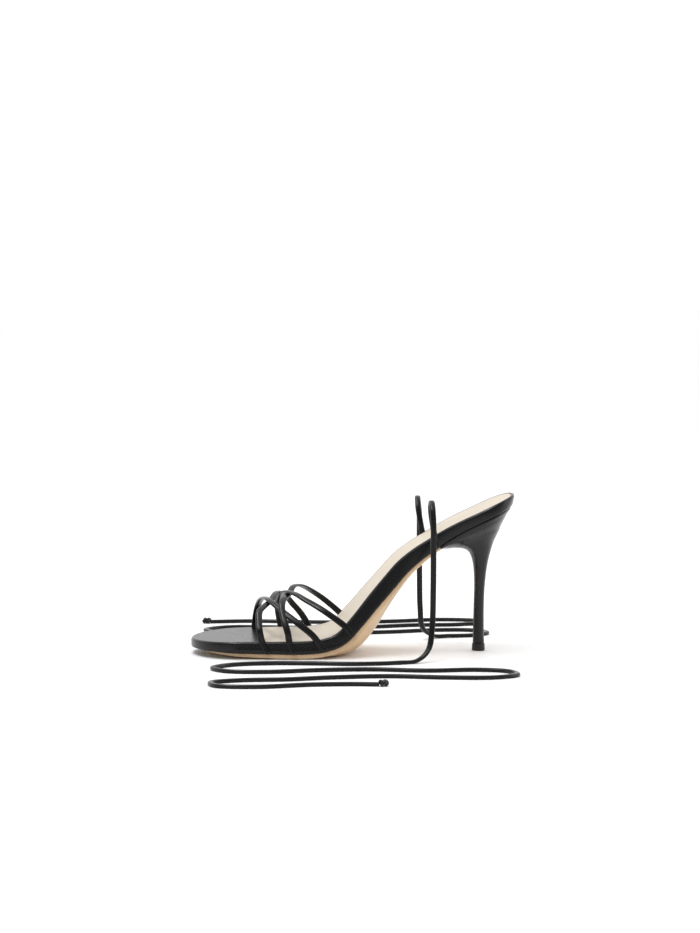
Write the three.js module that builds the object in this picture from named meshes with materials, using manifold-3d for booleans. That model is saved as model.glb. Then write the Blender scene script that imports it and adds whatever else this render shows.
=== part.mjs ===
// Strappy stiletto sandal, a left shoe, standing empty on the floor.
// Millimetres, +Z up, toe towards -X, outer side of the foot towards -Y, floor at z = 0.
import * as THREE from 'three';
import { mergeVertices } from 'three/addons/utils/BufferGeometryUtils.js';
import Module from 'manifold-3d';

const wasm = await Module();
wasm.setup();

// Driving dimensions of the last
const shoeLength = 214.4;
const ballWidth = 79;
const ballHeight = 11.7;
const seatRise = 91.8;
const toeRound = 31;
const toePower = 2.1;
const seatRound = 25;
const seatPower = 2.3;
const seatEndLean = THREE.MathUtils.degToRad(34);
const seatLeanFrom = 0.86;

// Driving dimensions of the footbed, its lining and the outsole
const rimDepth = 10;
const rimTopRadius = 1.9;
const rimFootRadius = 1.3;
const rimBorder = 2.6;
const rimTuckShare = 0.5;
const liningThickness = 0.8;
const liningBevel = 0.25;
const liningFrontAt = 0.18;
const recessStep = 0.1;
const soleEdge = 2.9;
const soleBevel = 0.3;
const soleRound = 0.6;
const soleFlatShare = 0.75;
const spineShare = 0.9;
const soleBelly = 8.2;
const bellyPower = 2.3;
const soleInset = 1;
const toeTuck = 6;
const breastAt = 0.748;

// Driving dimensions of the heel and its top lift
const stemDepth = 7.6;
const stemWidth = 8;
const heelAxisAt = 0.8895;
const heelInset = 0.9;
const cupLip = 1.4;
const cupDrop = 1.4;
const liftHeight = 5;
const liftFlare = 0.5;
const liftTopFlare = 0.3;
const liftBevel = 0.4;

// Driving dimensions of the straps and ties
const strapWidth = 4.2;
const strapThickness = 2.2;
const strapRise = 32;
const strapSink = 0.75;
const tieSlant = -0.42;
const tieStand = 9;
const tieLeanBack = 0.16;
const tieLeanOut = 0.1;
const tieDiameter = 3.2;
const knotDiameter = 6;
const knotLift = 0.05;

// Clearance between neighbouring pieces
const gap = 0.3;

// Points closer together than this are one point
const mergeDistance = 1e-3;

// Height of the footbed's top along the middle of the shoe, from the toe to the back of the heel
// along is a share of shoeLength, rise a share of seatRise over the ball of the foot
const footbedLine = [
  { along: 0.0, rise: -0.014 },
  { along: 0.07, rise: -0.008 },
  { along: 0.14, rise: -0.003 },
  { along: 0.26, rise: 0.0 },
  { along: 0.35, rise: 0.004 },
  { along: 0.4, rise: 0.018 },
  { along: 0.445, rise: 0.06 },
  { along: 0.49, rise: 0.173 },
  { along: 0.54, rise: 0.314 },
  { along: 0.585, rise: 0.435 },
  { along: 0.63, rise: 0.55 },
  { along: 0.68, rise: 0.641 },
  { along: 0.73, rise: 0.713 },
  { along: 0.78, rise: 0.782 },
  { along: 0.83, rise: 0.842 },
  { along: 0.88, rise: 0.896 },
  { along: 0.94, rise: 0.962 },
  { along: 1.0, rise: 1.02 },
];

// Sections of the sole, square to the footbed line
// along is a share of the footbed's own length, outer and inner are half widths in shares of
// ballWidth, rim a share of rimDepth, edge a share of soleEdge, belly a share of soleBelly and
// tuck a share of toeTuck by which the outsole draws back under the rim
const soleSections = [
  { along: 0.0, outer: 0.42, inner: 0.42, rim: 0.68, edge: 0.4, belly: 0.0, tuck: 1.0 },
  { along: 0.06, outer: 0.445, inner: 0.45, rim: 0.73, edge: 0.55, belly: 0.05, tuck: 0.9 },
  { along: 0.12, outer: 0.462, inner: 0.477, rim: 0.78, edge: 0.75, belly: 0.1, tuck: 0.5 },
  { along: 0.19, outer: 0.478, inner: 0.497, rim: 0.8, edge: 0.92, belly: 0.1, tuck: 0.12 },
  { along: 0.25, outer: 0.495, inner: 0.505, rim: 0.83, edge: 1.0, belly: 0.1, tuck: 0.0 },
  { along: 0.31, outer: 0.505, inner: 0.492, rim: 0.85, edge: 1.0, belly: 0.14, tuck: 0.0 },
  { along: 0.35, outer: 0.497, inner: 0.472, rim: 0.86, edge: 1.0, belly: 0.45, tuck: 0.0 },
  { along: 0.395, outer: 0.475, inner: 0.438, rim: 0.88, edge: 0.98, belly: 1.0, tuck: 0.0 },
  { along: 0.455, outer: 0.437, inner: 0.395, rim: 0.92, edge: 0.9, belly: 1.0, tuck: 0.0 },
  { along: 0.52, outer: 0.39, inner: 0.35, rim: 0.97, edge: 0.83, belly: 0.68, tuck: 0.0 },
  { along: 0.58, outer: 0.352, inner: 0.325, rim: 1.0, edge: 0.8, belly: 0.42, tuck: 0.0 },
  { along: 0.645, outer: 0.32, inner: 0.315, rim: 0.98, edge: 0.75, belly: 0.31, tuck: 0.0 },
  { along: 0.7, outer: 0.305, inner: 0.31, rim: 0.91, edge: 0.68, belly: 0.26, tuck: 0.0 },
  { along: 0.75, outer: 0.3, inner: 0.31, rim: 0.82, edge: 0.6, belly: 0.16, tuck: 0.0 },
  { along: 0.8, outer: 0.302, inner: 0.316, rim: 0.75, edge: 0.5, belly: 0.08, tuck: 0.0 },
  { along: 0.88, outer: 0.318, inner: 0.328, rim: 0.7, edge: 0.5, belly: 0.0, tuck: 0.0 },
  { along: 1.0, outer: 0.325, inner: 0.33, rim: 0.68, edge: 0.5, belly: 0.0, tuck: 0.0 },
];

// Rings of the covered heel from the foot of the stem up to the cup
// rear, mid and front are shares of the seat's length from the heel's axis, their Z columns are
// shares of the height of the seat above each of them, wide is a share of the seat's half width
// and seat tells how far the ring takes the outline of the seat
const heelRings = [
  { rear: 0.074, rearZ: 0.19, mid: 0.0, midZ: 0.19, front: -0.074, frontZ: 0.19, wide: 0.155, seat: 0 },
  { rear: 0.076, rearZ: 0.38, mid: 0.0, midZ: 0.38, front: -0.066, frontZ: 0.38, wide: 0.157, seat: 0 },
  { rear: 0.09, rearZ: 0.515, mid: 0.005, midZ: 0.52, front: -0.061, frontZ: 0.525, wide: 0.18, seat: 0 },
  { rear: 0.122, rearZ: 0.645, mid: 0.01, midZ: 0.655, front: -0.074, frontZ: 0.66, wide: 0.25, seat: 0.05 },
  { rear: 0.162, rearZ: 0.73, mid: -0.02, midZ: 0.745, front: -0.106, frontZ: 0.745, wide: 0.36, seat: 0.12 },
  { rear: 0.2, rearZ: 0.79, mid: -0.075, midZ: 0.815, front: -0.155, frontZ: 0.8, wide: 0.48, seat: 0.25 },
  { rear: 0.25, rearZ: 0.84, mid: -0.155, midZ: 0.878, front: -0.25, frontZ: 0.845, wide: 0.63, seat: 0.45 },
  { rear: 0.308, rearZ: 0.897, mid: -0.26, midZ: 0.925, front: -0.37, frontZ: 0.88, wide: 0.78, seat: 0.65 },
  { rear: 0.372, rearZ: 0.95, mid: -0.375, midZ: 0.957, front: -0.475, frontZ: 0.912, wide: 0.9, seat: 0.85 },
];

// The four woven straps, each from the outer side of the shoe over the foot to the inner side
// outerAt and innerAt are where it meets the rim's top, in shares of shoeLength, and the slants
// are how far it runs back on the rim's wall, in shares of the rim's height there
// along is a share of shoeLength, across a share of half the ballWidth, up a share of strapRise
const straps = [
  {
    outerAt: 0.3835,
    innerAt: 0.2,
    outerSlant: 0.5,
    innerSlant: 0.55,
    crest: 0.78,
    path: [
      { along: 0.369, across: -1.01, up: 0.13 },
      { along: 0.329, across: -0.96, up: 0.35 },
      { along: 0.2916, across: -0.83, up: 0.53 },
      { along: 0.266, across: -0.63, up: 0.648 },
      { along: 0.24, across: -0.337, up: 0.76 },
      { along: 0.225, across: 0.15, up: 0.735 },
      { along: 0.213, across: 0.65, up: 0.57 },
      { along: 0.2055, across: 0.88, up: 0.35 },
      { along: 0.2014, across: 0.995, up: 0.12 },
    ],
  },
  {
    outerAt: 0.2173,
    innerAt: 0.37,
    outerSlant: 0.55,
    innerSlant: 0.5,
    crest: 0.84,
    path: [
      { along: 0.2084, across: -0.965, up: 0.22 },
      { along: 0.207, across: -0.848, up: 0.385 },
      { along: 0.21, across: -0.623, up: 0.575 },
      { along: 0.224, across: -0.46, up: 0.65 },
      { along: 0.243, across: -0.28, up: 0.728 },
      { along: 0.263, across: 0.12, up: 0.84 },
      { along: 0.279, across: 0.43, up: 0.805 },
      { along: 0.303, across: 0.757, up: 0.64 },
      { along: 0.3196, across: 0.89, up: 0.49 },
      { along: 0.341, across: 0.97, up: 0.32 },
      { along: 0.358, across: 1.005, up: 0.15 },
    ],
  },
  {
    outerAt: 0.466,
    innerAt: 0.284,
    outerSlant: -0.2,
    innerSlant: 0.5,
    crest: 0.92,
    path: [
      { along: 0.4065, across: -0.885, up: 0.6 },
      { along: 0.371, across: -0.757, up: 0.735 },
      { along: 0.345, across: -0.638, up: 0.82 },
      { along: 0.325, across: -0.481, up: 0.885 },
      { along: 0.301, across: -0.215, up: 0.912 },
      { along: 0.2865, across: 0.13, up: 0.858 },
      { along: 0.277, across: 0.49, up: 0.75 },
      { along: 0.271, across: 0.86, up: 0.5 },
      { along: 0.277, across: 1.0, up: 0.18 },
    ],
  },
  {
    outerAt: 0.2986,
    innerAt: 0.466,
    outerSlant: 0.5,
    innerSlant: -0.2,
    crest: 0.98,
    path: [
      { along: 0.2935, across: -1.015, up: 0.18 },
      { along: 0.286, across: -0.95, up: 0.355 },
      { along: 0.281, across: -0.87, up: 0.48 },
      { along: 0.277, across: -0.73, up: 0.66 },
      { along: 0.283, across: -0.494, up: 0.8 },
      { along: 0.3, across: -0.203, up: 0.85 },
      { along: 0.318, across: 0.15, up: 0.975 },
      { along: 0.345, across: 0.466, up: 0.935 },
      { along: 0.382, across: 0.742, up: 0.77 },
      { along: 0.421, across: 0.88, up: 0.57 },
    ],
  },
];

// Where the ankle ties leave the rim, in shares of shoeLength
const tieAt = { outer: 0.7415, inner: 0.722 };

// Routes of the two ties from their anchors over the rim and down, then along the floor
// Each point is x, y, z; the first stretch starts at the anchor's end
const outerTieRoute = [
  [49.5, -27.2, 95.5],
  [49.2, -31.5, 100.6],
  [49.2, -38.0, 102.0],
  [49.3, -44.0, 98.0],
  [49.6, -46.5, 90.0],
  [49.6, -47.5, 70.0],
  [49.4, -48.5, 45.0],
  [48.6, -50.0, 22.0],
  [46.0, -53.5, 8.5],
  [38.5, -58.5, 2.3],
  [26.0, -63.0, 1.7],
  [0.0, -67.0, 1.7],
  [-30.0, -63.0, 1.7],
  [-58.0, -61.0, 1.7],
  [-82.0, -67.0, 1.7],
  [-93.0, -80.0, 1.7],
  [-84.0, -94.0, 1.7],
  [-58.0, -98.0, 1.7],
  [-25.0, -92.0, 1.7],
  [8.0, -91.0, 1.7],
  [42.0, -98.0, 1.7],
  [72.0, -96.0, 1.7],
  [92.0, -103.0, 1.7],
  [96.0, -119.0, 1.7],
  [80.0, -129.0, 1.7],
  [50.0, -127.0, 1.7],
  [16.0, -120.0, 1.7],
  [-18.0, -123.0, 1.7],
  [-48.0, -130.0, 1.7],
  [-76.0, -132.0, 1.7],
  [-94.0, -140.0, 1.7],
  [-91.0, -154.0, 1.7],
  [-66.0, -159.0, 1.7],
  [-34.0, -152.0, 1.7],
  [-8.0, -151.0, 1.7],
  [8.0, -153.0, 1.7],
];
const innerTieRoute = [
  [45.4, 27.4, 92.5],
  [45.4, 31.8, 97.6],
  [45.8, 38.2, 99.0],
  [46.6, 44.0, 95.0],
  [47.6, 46.6, 87.0],
  [47.8, 47.5, 68.0],
  [48.0, 48.5, 45.0],
  [48.6, 50.0, 22.0],
  [50.5, 53.5, 8.5],
  [57.5, 58.5, 2.6],
  [70.0, 62.0, 1.8],
  [88.0, 66.0, 1.7],
  [97.0, 78.0, 1.7],
  [88.0, 91.0, 1.7],
  [62.0, 93.0, 1.7],
  [30.0, 85.0, 1.7],
  [-4.0, 82.0, 1.7],
  [-38.0, 87.0, 1.7],
  [-68.0, 84.0, 1.7],
  [-90.0, 88.0, 1.7],
  [-97.0, 103.0, 1.7],
  [-82.0, 116.0, 1.7],
  [-52.0, 115.0, 1.7],
  [-18.0, 108.0, 1.7],
  [18.0, 112.0, 1.7],
  [50.0, 120.0, 1.7],
  [78.0, 121.0, 1.7],
  [96.0, 129.0, 1.7],
  [94.0, 143.0, 1.7],
  [70.0, 149.0, 1.7],
  [38.0, 142.0, 1.7],
  [4.0, 138.0, 1.7],
  [-30.0, 142.0, 1.7],
  [-64.0, 148.0, 1.7],
  [-94.0, 146.0, 1.7],
];

// Materials in the colours of the photograph
const blackLeather = new THREE.MeshStandardMaterial({ color: 0x24262a, roughness: 0.42, metalness: 0 });
const beigeLining = new THREE.MeshStandardMaterial({ color: 0xe6dac6, roughness: 0.7, metalness: 0 });
const tanSole = new THREE.MeshStandardMaterial({ color: 0xe0c19a, roughness: 0.6, metalness: 0 });
const blackGloss = new THREE.MeshStandardMaterial({ color: 0x1c1e22, roughness: 0.22, metalness: 0 });
const blackRubber = new THREE.MeshStandardMaterial({ color: 0x18191b, roughness: 0.6, metalness: 0 });

// A smooth curve through one column of a table
function columnCurve(rows, column) {
  const knots = rows.map((row) => row.along);
  const values = rows.map((row) => row[column]);
  const last = knots.length - 1;
  const slopes = knots.map((knot, i) => {
    const before = Math.max(i - 1, 0);
    const after = Math.min(i + 1, last);
    return (values[after] - values[before]) / (knots[after] - knots[before]);
  });
  return (along) => {
    let i = 0;
    while (i < last - 1 && along > knots[i + 1]) i += 1;
    const step = knots[i + 1] - knots[i];
    const t = THREE.MathUtils.clamp((along - knots[i]) / step, 0, 1);
    const ease = t * t * (3 - 2 * t);
    const leave = t * (1 - t) * (1 - t) * step * slopes[i];
    const arrive = t * t * (t - 1) * step * slopes[i + 1];
    return values[i] * (1 - ease) + values[i + 1] * ease + leave + arrive;
  };
}

// The footbed line, measured out by its own length
const lineRise = columnCurve(footbedLine, 'rise');
const lineSteps = 600;
const slopeSteps = 3;
const lineSamples = [];
for (let i = 0; i <= lineSteps; i += 1) {
  const share = i / lineSteps;
  const x = shoeLength * (share - 0.5);
  const z = ballHeight + seatRise * lineRise(share);
  const before = lineSamples[i - 1];
  const run = before ? before.run + Math.hypot(x - before.x, z - before.z) : 0;
  lineSamples.push({ share, x, z, run });
}
const footbedRun = lineSamples[lineSteps].run;

function lineAt(run) {
  let low = 0;
  let high = lineSteps;
  while (high - low > 1) {
    const middle = (low + high) >> 1;
    if (lineSamples[middle].run > run) high = middle;
    else low = middle;
  }
  const a = lineSamples[low];
  const b = lineSamples[high];
  const t = (run - a.run) / (b.run - a.run);
  const before = lineSamples[Math.max(low - slopeSteps, 0)];
  const after = lineSamples[Math.min(high + slopeSteps, lineSteps)];
  const slope = Math.atan2(after.z - before.z, after.x - before.x);
  return { x: a.x + (b.x - a.x) * t, z: a.z + (b.z - a.z) * t, slope };
}

// How far along the footbed line a share of the shoe's length lies
function runAt(share) {
  return lineSamples[Math.round(share * lineSteps)].run;
}

// Half width of the footbed on one side, with the round toe and seat
const sideColumn = { [-1]: columnCurve(soleSections, 'outer'), 1: columnCurve(soleSections, 'inner') };
function roundEnd(distance, length, power) {
  if (distance >= length) return 1;
  return (1 - (1 - Math.max(distance, 0) / length) ** power) ** (1 / power);
}
function halfWidth(run, side) {
  const width = ballWidth * sideColumn[side](run / footbedRun);
  return width * roundEnd(run, toeRound, toePower) * roundEnd(footbedRun - run, seatRound, seatPower);
}

const rimShare = columnCurve(soleSections, 'rim');
const edgeShare = columnCurve(soleSections, 'edge');
const bellyShare = columnCurve(soleSections, 'belly');
const tuckShare = columnCurve(soleSections, 'tuck');
const rimAt = (run) => rimDepth * rimShare(run / footbedRun);
const edgeAt = (run) => soleEdge * edgeShare(run / footbedRun);
const bellyAt = (run) => soleBelly * bellyShare(run / footbedRun);
const tuckAt = (run) => toeTuck * tuckShare(run / footbedRun);

// A point of the sole: run along the footbed line, y across and a depth below its top
function solePoint(run, y, depth) {
  const line = lineAt(run);
  const endShare = THREE.MathUtils.smoothstep(run / footbedRun, seatLeanFrom, 1);
  const lean = seatEndLean * endShare;
  const down = depth / Math.cos(lean);
  const angle = line.slope - lean;
  return new THREE.Vector3(line.x + down * Math.sin(angle), y, line.z - down * Math.cos(angle));
}

// Stations that all layers of the sole share, closer together at the round ends
const stationSpacing = 6.5;
const stationMargin = 1;
const roundSteps = 7;
const soleStations = [];
for (let i = 0; i < roundSteps; i += 1) {
  soleStations.push(toeRound * (1 - Math.cos((i / roundSteps) * Math.PI / 2)));
}
const straightRun = footbedRun - seatRound - toeRound;
const straightSteps = Math.ceil(straightRun / stationSpacing);
for (let i = 0; i <= straightSteps; i += 1) {
  soleStations.push(toeRound + straightRun * (i / straightSteps));
}
for (let i = 1; i <= roundSteps; i += 1) {
  soleStations.push(footbedRun - seatRound + seatRound * Math.sin((i / roundSteps) * Math.PI / 2));
}

// The stations between two runs, with both runs and any step between them
function stations(from, to, steps) {
  const isFree = (run) => [from, to, ...steps].every((fixed) => Math.abs(run - fixed) > stationMargin);
  const between = soleStations.filter((run) => run > from && run < to && isFree(run));
  return [from, ...between, ...steps, to].sort((a, b) => a - b);
}

// The outline as one loop of run and y, with the pairs of points that face each other
function outline(from, to, steps = []) {
  const runs = stations(from, to, steps);
  const outer = runs.map((run) => ({ run, y: -halfWidth(run, -1) }));
  const inner = runs.map((run) => ({ run, y: halfWidth(run, 1) }));
  const tipStart = from < toeRound;
  const tipEnd = to > footbedRun - seatRound;
  const loop = [...outer];
  const back = inner.slice(tipStart ? 1 : 0, tipEnd ? -1 : undefined).reverse();
  loop.push(...back);
  const pairs = runs.map((run, i) => {
    if (tipStart && i === 0) return [0, 0];
    const mirror = loop.length - i - (tipStart ? 0 : 1);
    return tipEnd && i === runs.length - 1 ? [i, i] : [i, mirror];
  });
  return { loop, pairs, cutStart: !tipStart, cutEnd: !tipEnd, count: runs.length };
}

// The loop drawn in by a distance, square to itself; a straight cut end stays where it is
function drawnIn(shape, distanceAt) {
  return shape.loop.map((point, i) => {
    const [from, to] = edgeAround(shape, i);
    const dRun = to.run - from.run;
    const dY = to.y - from.y;
    const length = Math.hypot(dRun, dY);
    const distance = distanceAt(point.run);
    const run = isOnCut(shape, i) ? point.run : point.run - (dY / length) * distance;
    return { run, y: point.y + (dRun / length) * distance };
  });
}

// The two points of the loop that give the edge its direction, never across a cut end
function edgeAround({ loop, cutStart, cutEnd, count }, i) {
  const before = loop[(i + loop.length - 1) % loop.length];
  const after = loop[(i + 1) % loop.length];
  if ((cutStart && i === 0) || (cutEnd && i === count)) return [loop[i], after];
  if ((cutStart && i === loop.length - 1) || (cutEnd && i === count - 1)) return [before, loop[i]];
  return [before, after];
}

function isOnCut({ loop, cutStart, cutEnd, count }, i) {
  const onStart = cutStart && (i === 0 || i === loop.length - 1);
  const onEnd = cutEnd && (i === count - 1 || i === count);
  return onStart || onEnd;
}

// A closed surface over rings of points, closed by strips between facing points
function skin(rings, pairs) {
  const size = rings[0].length;
  const positions = rings.flat().flatMap((point) => [point.x, point.y, point.z]);
  const index = [];
  for (let r = 0; r < rings.length - 1; r += 1) {
    for (let i = 0; i < size; i += 1) {
      const a = r * size + i;
      const b = r * size + ((i + 1) % size);
      index.push(a, b, a + size, b, b + size, a + size);
    }
  }
  const top = (rings.length - 1) * size;
  for (let i = 0; i < pairs.length - 1; i += 1) {
    const [a, d] = pairs[i];
    const [b, c] = pairs[i + 1];
    if (b !== c) {
      index.push(a, c, b);
      index.push(top + a, top + b, top + c);
    }
    if (a !== d) {
      index.push(a, d, c);
      index.push(top + a, top + c, top + d);
    }
  }
  const geometry = new THREE.BufferGeometry();
  geometry.setAttribute('position', new THREE.Float32BufferAttribute(positions, 3));
  geometry.setIndex(index);
  return facingOut(geometry);
}

// The same surface with its faces pointing out
function facingOut(geometry) {
  const position = geometry.getAttribute('position');
  const index = geometry.getIndex().array;
  const corner = (k) => new THREE.Vector3().fromBufferAttribute(position, index[k]);
  let volume = 0;
  for (let k = 0; k < index.length; k += 3) volume += corner(k).dot(corner(k + 1).cross(corner(k + 2)));
  if (volume < 0) {
    const turned = [];
    for (let k = 0; k < index.length; k += 3) turned.push(index[k], index[k + 2], index[k + 1]);
    geometry.setIndex(turned);
  }
  return geometry;
}

// Pairs of facing points for a ring that starts and ends on the middle line
function facingPairs(size) {
  const pairs = [];
  for (let i = 0; i <= size / 2; i += 1) pairs.push([i, (size - i) % size]);
  return pairs;
}

// Solids for cuts and joins
function toSolid(geometry) {
  const merged = mergeVertices(geometry);
  const vertProperties = new Float32Array(merged.getAttribute('position').array);
  const triVerts = new Uint32Array(merged.getIndex().array);
  return new wasm.Manifold(new wasm.Mesh({ numProp: 3, vertProperties, triVerts }));
}

function fromSolid(solid) {
  const mesh = solid.getMesh();
  const geometry = new THREE.BufferGeometry();
  geometry.setAttribute('position', new THREE.Float32BufferAttribute(mesh.vertProperties, 3));
  geometry.setIndex(Array.from(mesh.triVerts));
  return geometry;
}

// Footbed: insole board wrapped in leather, rounded at its edge, sunk for the lining
function footbedGeometry() {
  const liningRun = liningFrontAt * footbedRun;
  const shape = outline(0, footbedRun, [liningRun - recessStep, liningRun]);
  const sunk = (run) => (run < liningRun ? 0 : liningThickness + gap);
  const profile = [
    { inset: () => rimBorder + recessStep, depth: sunk },
    { inset: () => rimBorder, depth: () => 0 },
  ];
  for (const turn of [0, 25, 50, 90].map(THREE.MathUtils.degToRad)) {
    const inset = rimTopRadius * (1 - Math.sin(turn));
    const depth = rimTopRadius * (1 - Math.cos(turn));
    profile.push({ inset: () => inset, depth: () => depth });
  }
  for (const turn of [0, 45, 80].map(THREE.MathUtils.degToRad)) {
    const inset = rimFootRadius * (1 - Math.cos(turn));
    const lift = rimFootRadius * (1 - Math.sin(turn));
    profile.push({
      inset: (run) => inset + tuckAt(run) * rimTuckShare * turn,
      depth: (run) => rimAt(run) - lift,
    });
  }
  const rings = profile.map(({ inset, depth }) => {
    const loop = drawnIn(shape, inset);
    return loop.map((point, i) => solePoint(point.run, point.y, depth(shape.loop[i].run)));
  });
  return skin(rings, shape.pairs);
}

// Sock lining: thin sheet in the footbed's recess, from the first strap to the heel
function liningGeometry() {
  const shape = outline(liningFrontAt * footbedRun + gap, footbedRun);
  const edge = rimBorder + recessStep + gap;
  const profile = [
    { inset: edge + liningBevel, depth: 0 },
    { inset: edge, depth: liningBevel },
    { inset: edge, depth: liningThickness },
  ];
  const rings = profile.map(({ inset, depth }) => {
    const loop = drawnIn(shape, () => inset);
    return loop.map((point) => solePoint(point.run, point.y, depth));
  });
  return skin(rings, shape.pairs);
}

// Outsole: thin flat edge all round, a domed waist, ground flat where it stands on the floor
function outsoleGeometry() {
  const shape = outline(0, breastAt * footbedRun);
  const edgeInset = (run) => soleInset + tuckAt(run);
  const topDepth = (run) => rimAt(run) + gap;
  const rings = [];
  const addRing = (inset, depth) => {
    const loop = drawnIn(shape, inset);
    rings.push(loop.map((point, i) => solePoint(point.run, point.y, depth(shape.loop[i].run))));
  };
  addRing((run) => edgeInset(run) + soleBevel, topDepth);
  addRing(edgeInset, (run) => topDepth(run) + soleBevel);
  addRing(edgeInset, (run) => topDepth(run) + edgeAt(run) * soleFlatShare);
  addRing((run) => edgeInset(run) + soleRound, (run) => topDepth(run) + edgeAt(run));
  const rim = drawnIn(shape, (run) => edgeInset(run) + soleRound);
  const spineFrom = toeRound * spineShare;
  for (const inward of [0.12, 0.3, 0.52, 0.78]) {
    const drop = 1 - (1 - inward) ** bellyPower;
    rings.push(rim.map((point, i) => {
      const spine = Math.max(point.run, spineFrom);
      const run = point.run + (spine - point.run) * inward;
      const at = shape.loop[i].run;
      return solePoint(run, point.y * (1 - inward), topDepth(at) + edgeAt(at) + bellyAt(at) * drop);
    }));
  }
  for (const ring of rings) {
    for (const point of ring) point.z = Math.max(point.z, 0);
  }
  return skin(rings, shape.pairs);
}

// Heel: slim stem, oval below, opening into a cup under the seat with a curved breast
const seatMiddle = 0.4;
const seatAheadShare = 0.98;
const heelBackRun = footbedRun - heelInset;
const heelBreastRun = breastAt * footbedRun + gap;
const seatUnder = (run, y) => solePoint(run, y, rimAt(run) + gap);
const seatFrontX = seatUnder(heelBreastRun, 0).x;
const seatBackX = seatUnder(heelBackRun, 0).x;
const seatLength = seatBackX - seatFrontX;
const seatHalfWidth = halfWidth(heelBreastRun + seatLength * seatMiddle, 1) - heelInset;
const heelAxisX = shoeLength * (heelAxisAt - 0.5);

function seatHeightAt(x) {
  let low = heelBreastRun * seatAheadShare;
  let high = footbedRun;
  for (let i = 0; i < 30; i += 1) {
    const middle = (low + high) / 2;
    if (seatUnder(middle, 0).x > x) high = middle;
    else low = middle;
  }
  return seatUnder(low, 0).z;
}

const frontSteps = 6;
const sideSteps = 12;

// One ring of the heel: front point, outer side, rear point, inner side
function heelRing(halfLoop) {
  const outerHalf = halfLoop(-1);
  const innerHalf = halfLoop(1);
  return [...outerHalf, ...innerHalf.slice(1, -1).reverse()];
}

function lowerHeelRing(row) {
  const rear = { x: heelAxisX + row.rear * seatLength };
  const mid = { x: heelAxisX + row.mid * seatLength };
  const front = { x: heelAxisX + row.front * seatLength };
  rear.z = seatHeightAt(rear.x) * row.rearZ;
  mid.z = seatHeightAt(mid.x) * row.midZ;
  front.z = seatHeightAt(front.x) * row.frontZ;
  const wide = Math.max(seatHalfWidth * row.wide, stemWidth / 2);
  return heelRing((side) => {
    const points = [];
    for (let k = 0; k < frontSteps; k += 1) {
      const turn = (k / frontSteps) * (Math.PI / 2);
      const x = mid.x - (mid.x - front.x) * Math.cos(turn);
      const z = mid.z - (mid.z - front.z) * Math.cos(turn);
      points.push(new THREE.Vector3(x, side * wide * Math.sin(turn), z));
    }
    for (let k = 0; k <= sideSteps; k += 1) {
      const turn = (k / sideSteps) * (Math.PI / 2);
      const back = Math.sin(turn);
      const seatRun = heelBreastRun + (footbedRun - heelBreastRun) * back;
      const seatWide = halfWidth(seatRun, side) / halfWidth(heelBreastRun, side);
      const y = wide * THREE.MathUtils.lerp(Math.cos(turn), seatWide, row.seat);
      const x = mid.x + (rear.x - mid.x) * back;
      const z = mid.z + (rear.z - mid.z) * back;
      points.push(new THREE.Vector3(x, side * y, z));
    }
    return points;
  });
}

function stemFoot(z, grow) {
  const deep = stemDepth / 2 + grow;
  const wide = stemWidth / 2 + grow;
  return heelRing((side) => {
    const points = [];
    for (let k = 0; k < frontSteps + sideSteps + 1; k += 1) {
      const turn = k < frontSteps
        ? (k / frontSteps) * (Math.PI / 2)
        : (1 + (k - frontSteps) / sideSteps) * (Math.PI / 2);
      points.push(new THREE.Vector3(heelAxisX - deep * Math.cos(turn), side * wide * Math.sin(turn), z));
    }
    return points;
  });
}

// The cup's rim under the seat, a lip deep at its sides and deeper at the middle of the breast
function heelSeatRing(lip, drop) {
  return heelRing((side) => {
    const points = [];
    const frontWide = halfWidth(heelBreastRun, side) - heelInset;
    for (let k = 0; k < frontSteps; k += 1) {
      const turn = (k / frontSteps) * (Math.PI / 2);
      const depth = rimAt(heelBreastRun) + gap + lip + drop * Math.cos(turn);
      points.push(solePoint(heelBreastRun, side * frontWide * Math.sin(turn), depth));
    }
    for (let k = 0; k <= sideSteps; k += 1) {
      const back = Math.sin((k / sideSteps) * (Math.PI / 2));
      const run = heelBreastRun + (heelBackRun - heelBreastRun) * back;
      const edgeRun = heelBreastRun + (footbedRun - heelBreastRun) * back;
      const wide = k === sideSteps ? 0 : halfWidth(edgeRun, side) - heelInset;
      points.push(solePoint(run, side * Math.max(wide, 0), rimAt(run) + gap + lip));
    }
    return points;
  });
}

function heelGeometry() {
  const rings = [stemFoot(liftHeight + gap, 0), ...heelRings.map(lowerHeelRing)];
  rings.push(heelSeatRing(cupLip, cupDrop), heelSeatRing(0, 0));
  return skin(rings, facingPairs(rings[0].length));
}

// Top lift: small wear piece under the stem
function liftGeometry() {
  const rings = [
    stemFoot(0, liftFlare - liftBevel),
    stemFoot(liftBevel, liftFlare),
    stemFoot(liftHeight - liftBevel, liftTopFlare),
    stemFoot(liftHeight, liftTopFlare - liftBevel),
  ];
  return skin(rings, facingPairs(rings[0].length));
}

// A strap end on the rim: from its foot up the wall to the rim's top, slanting as it rises
const wallDepths = { foot: 0.88, middle: 0.5, top: 0.1 };
function wallPoints(along, side, slant) {
  const run = runAt(along);
  const out = strapThickness / 2 - strapSink;
  return Object.values(wallDepths).map((share) => {
    const at = run + slant * rimAt(run) * (share - wallDepths.top);
    return solePoint(at, side * (halfWidth(at, side) + out), rimAt(at) * share);
  });
}

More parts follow.
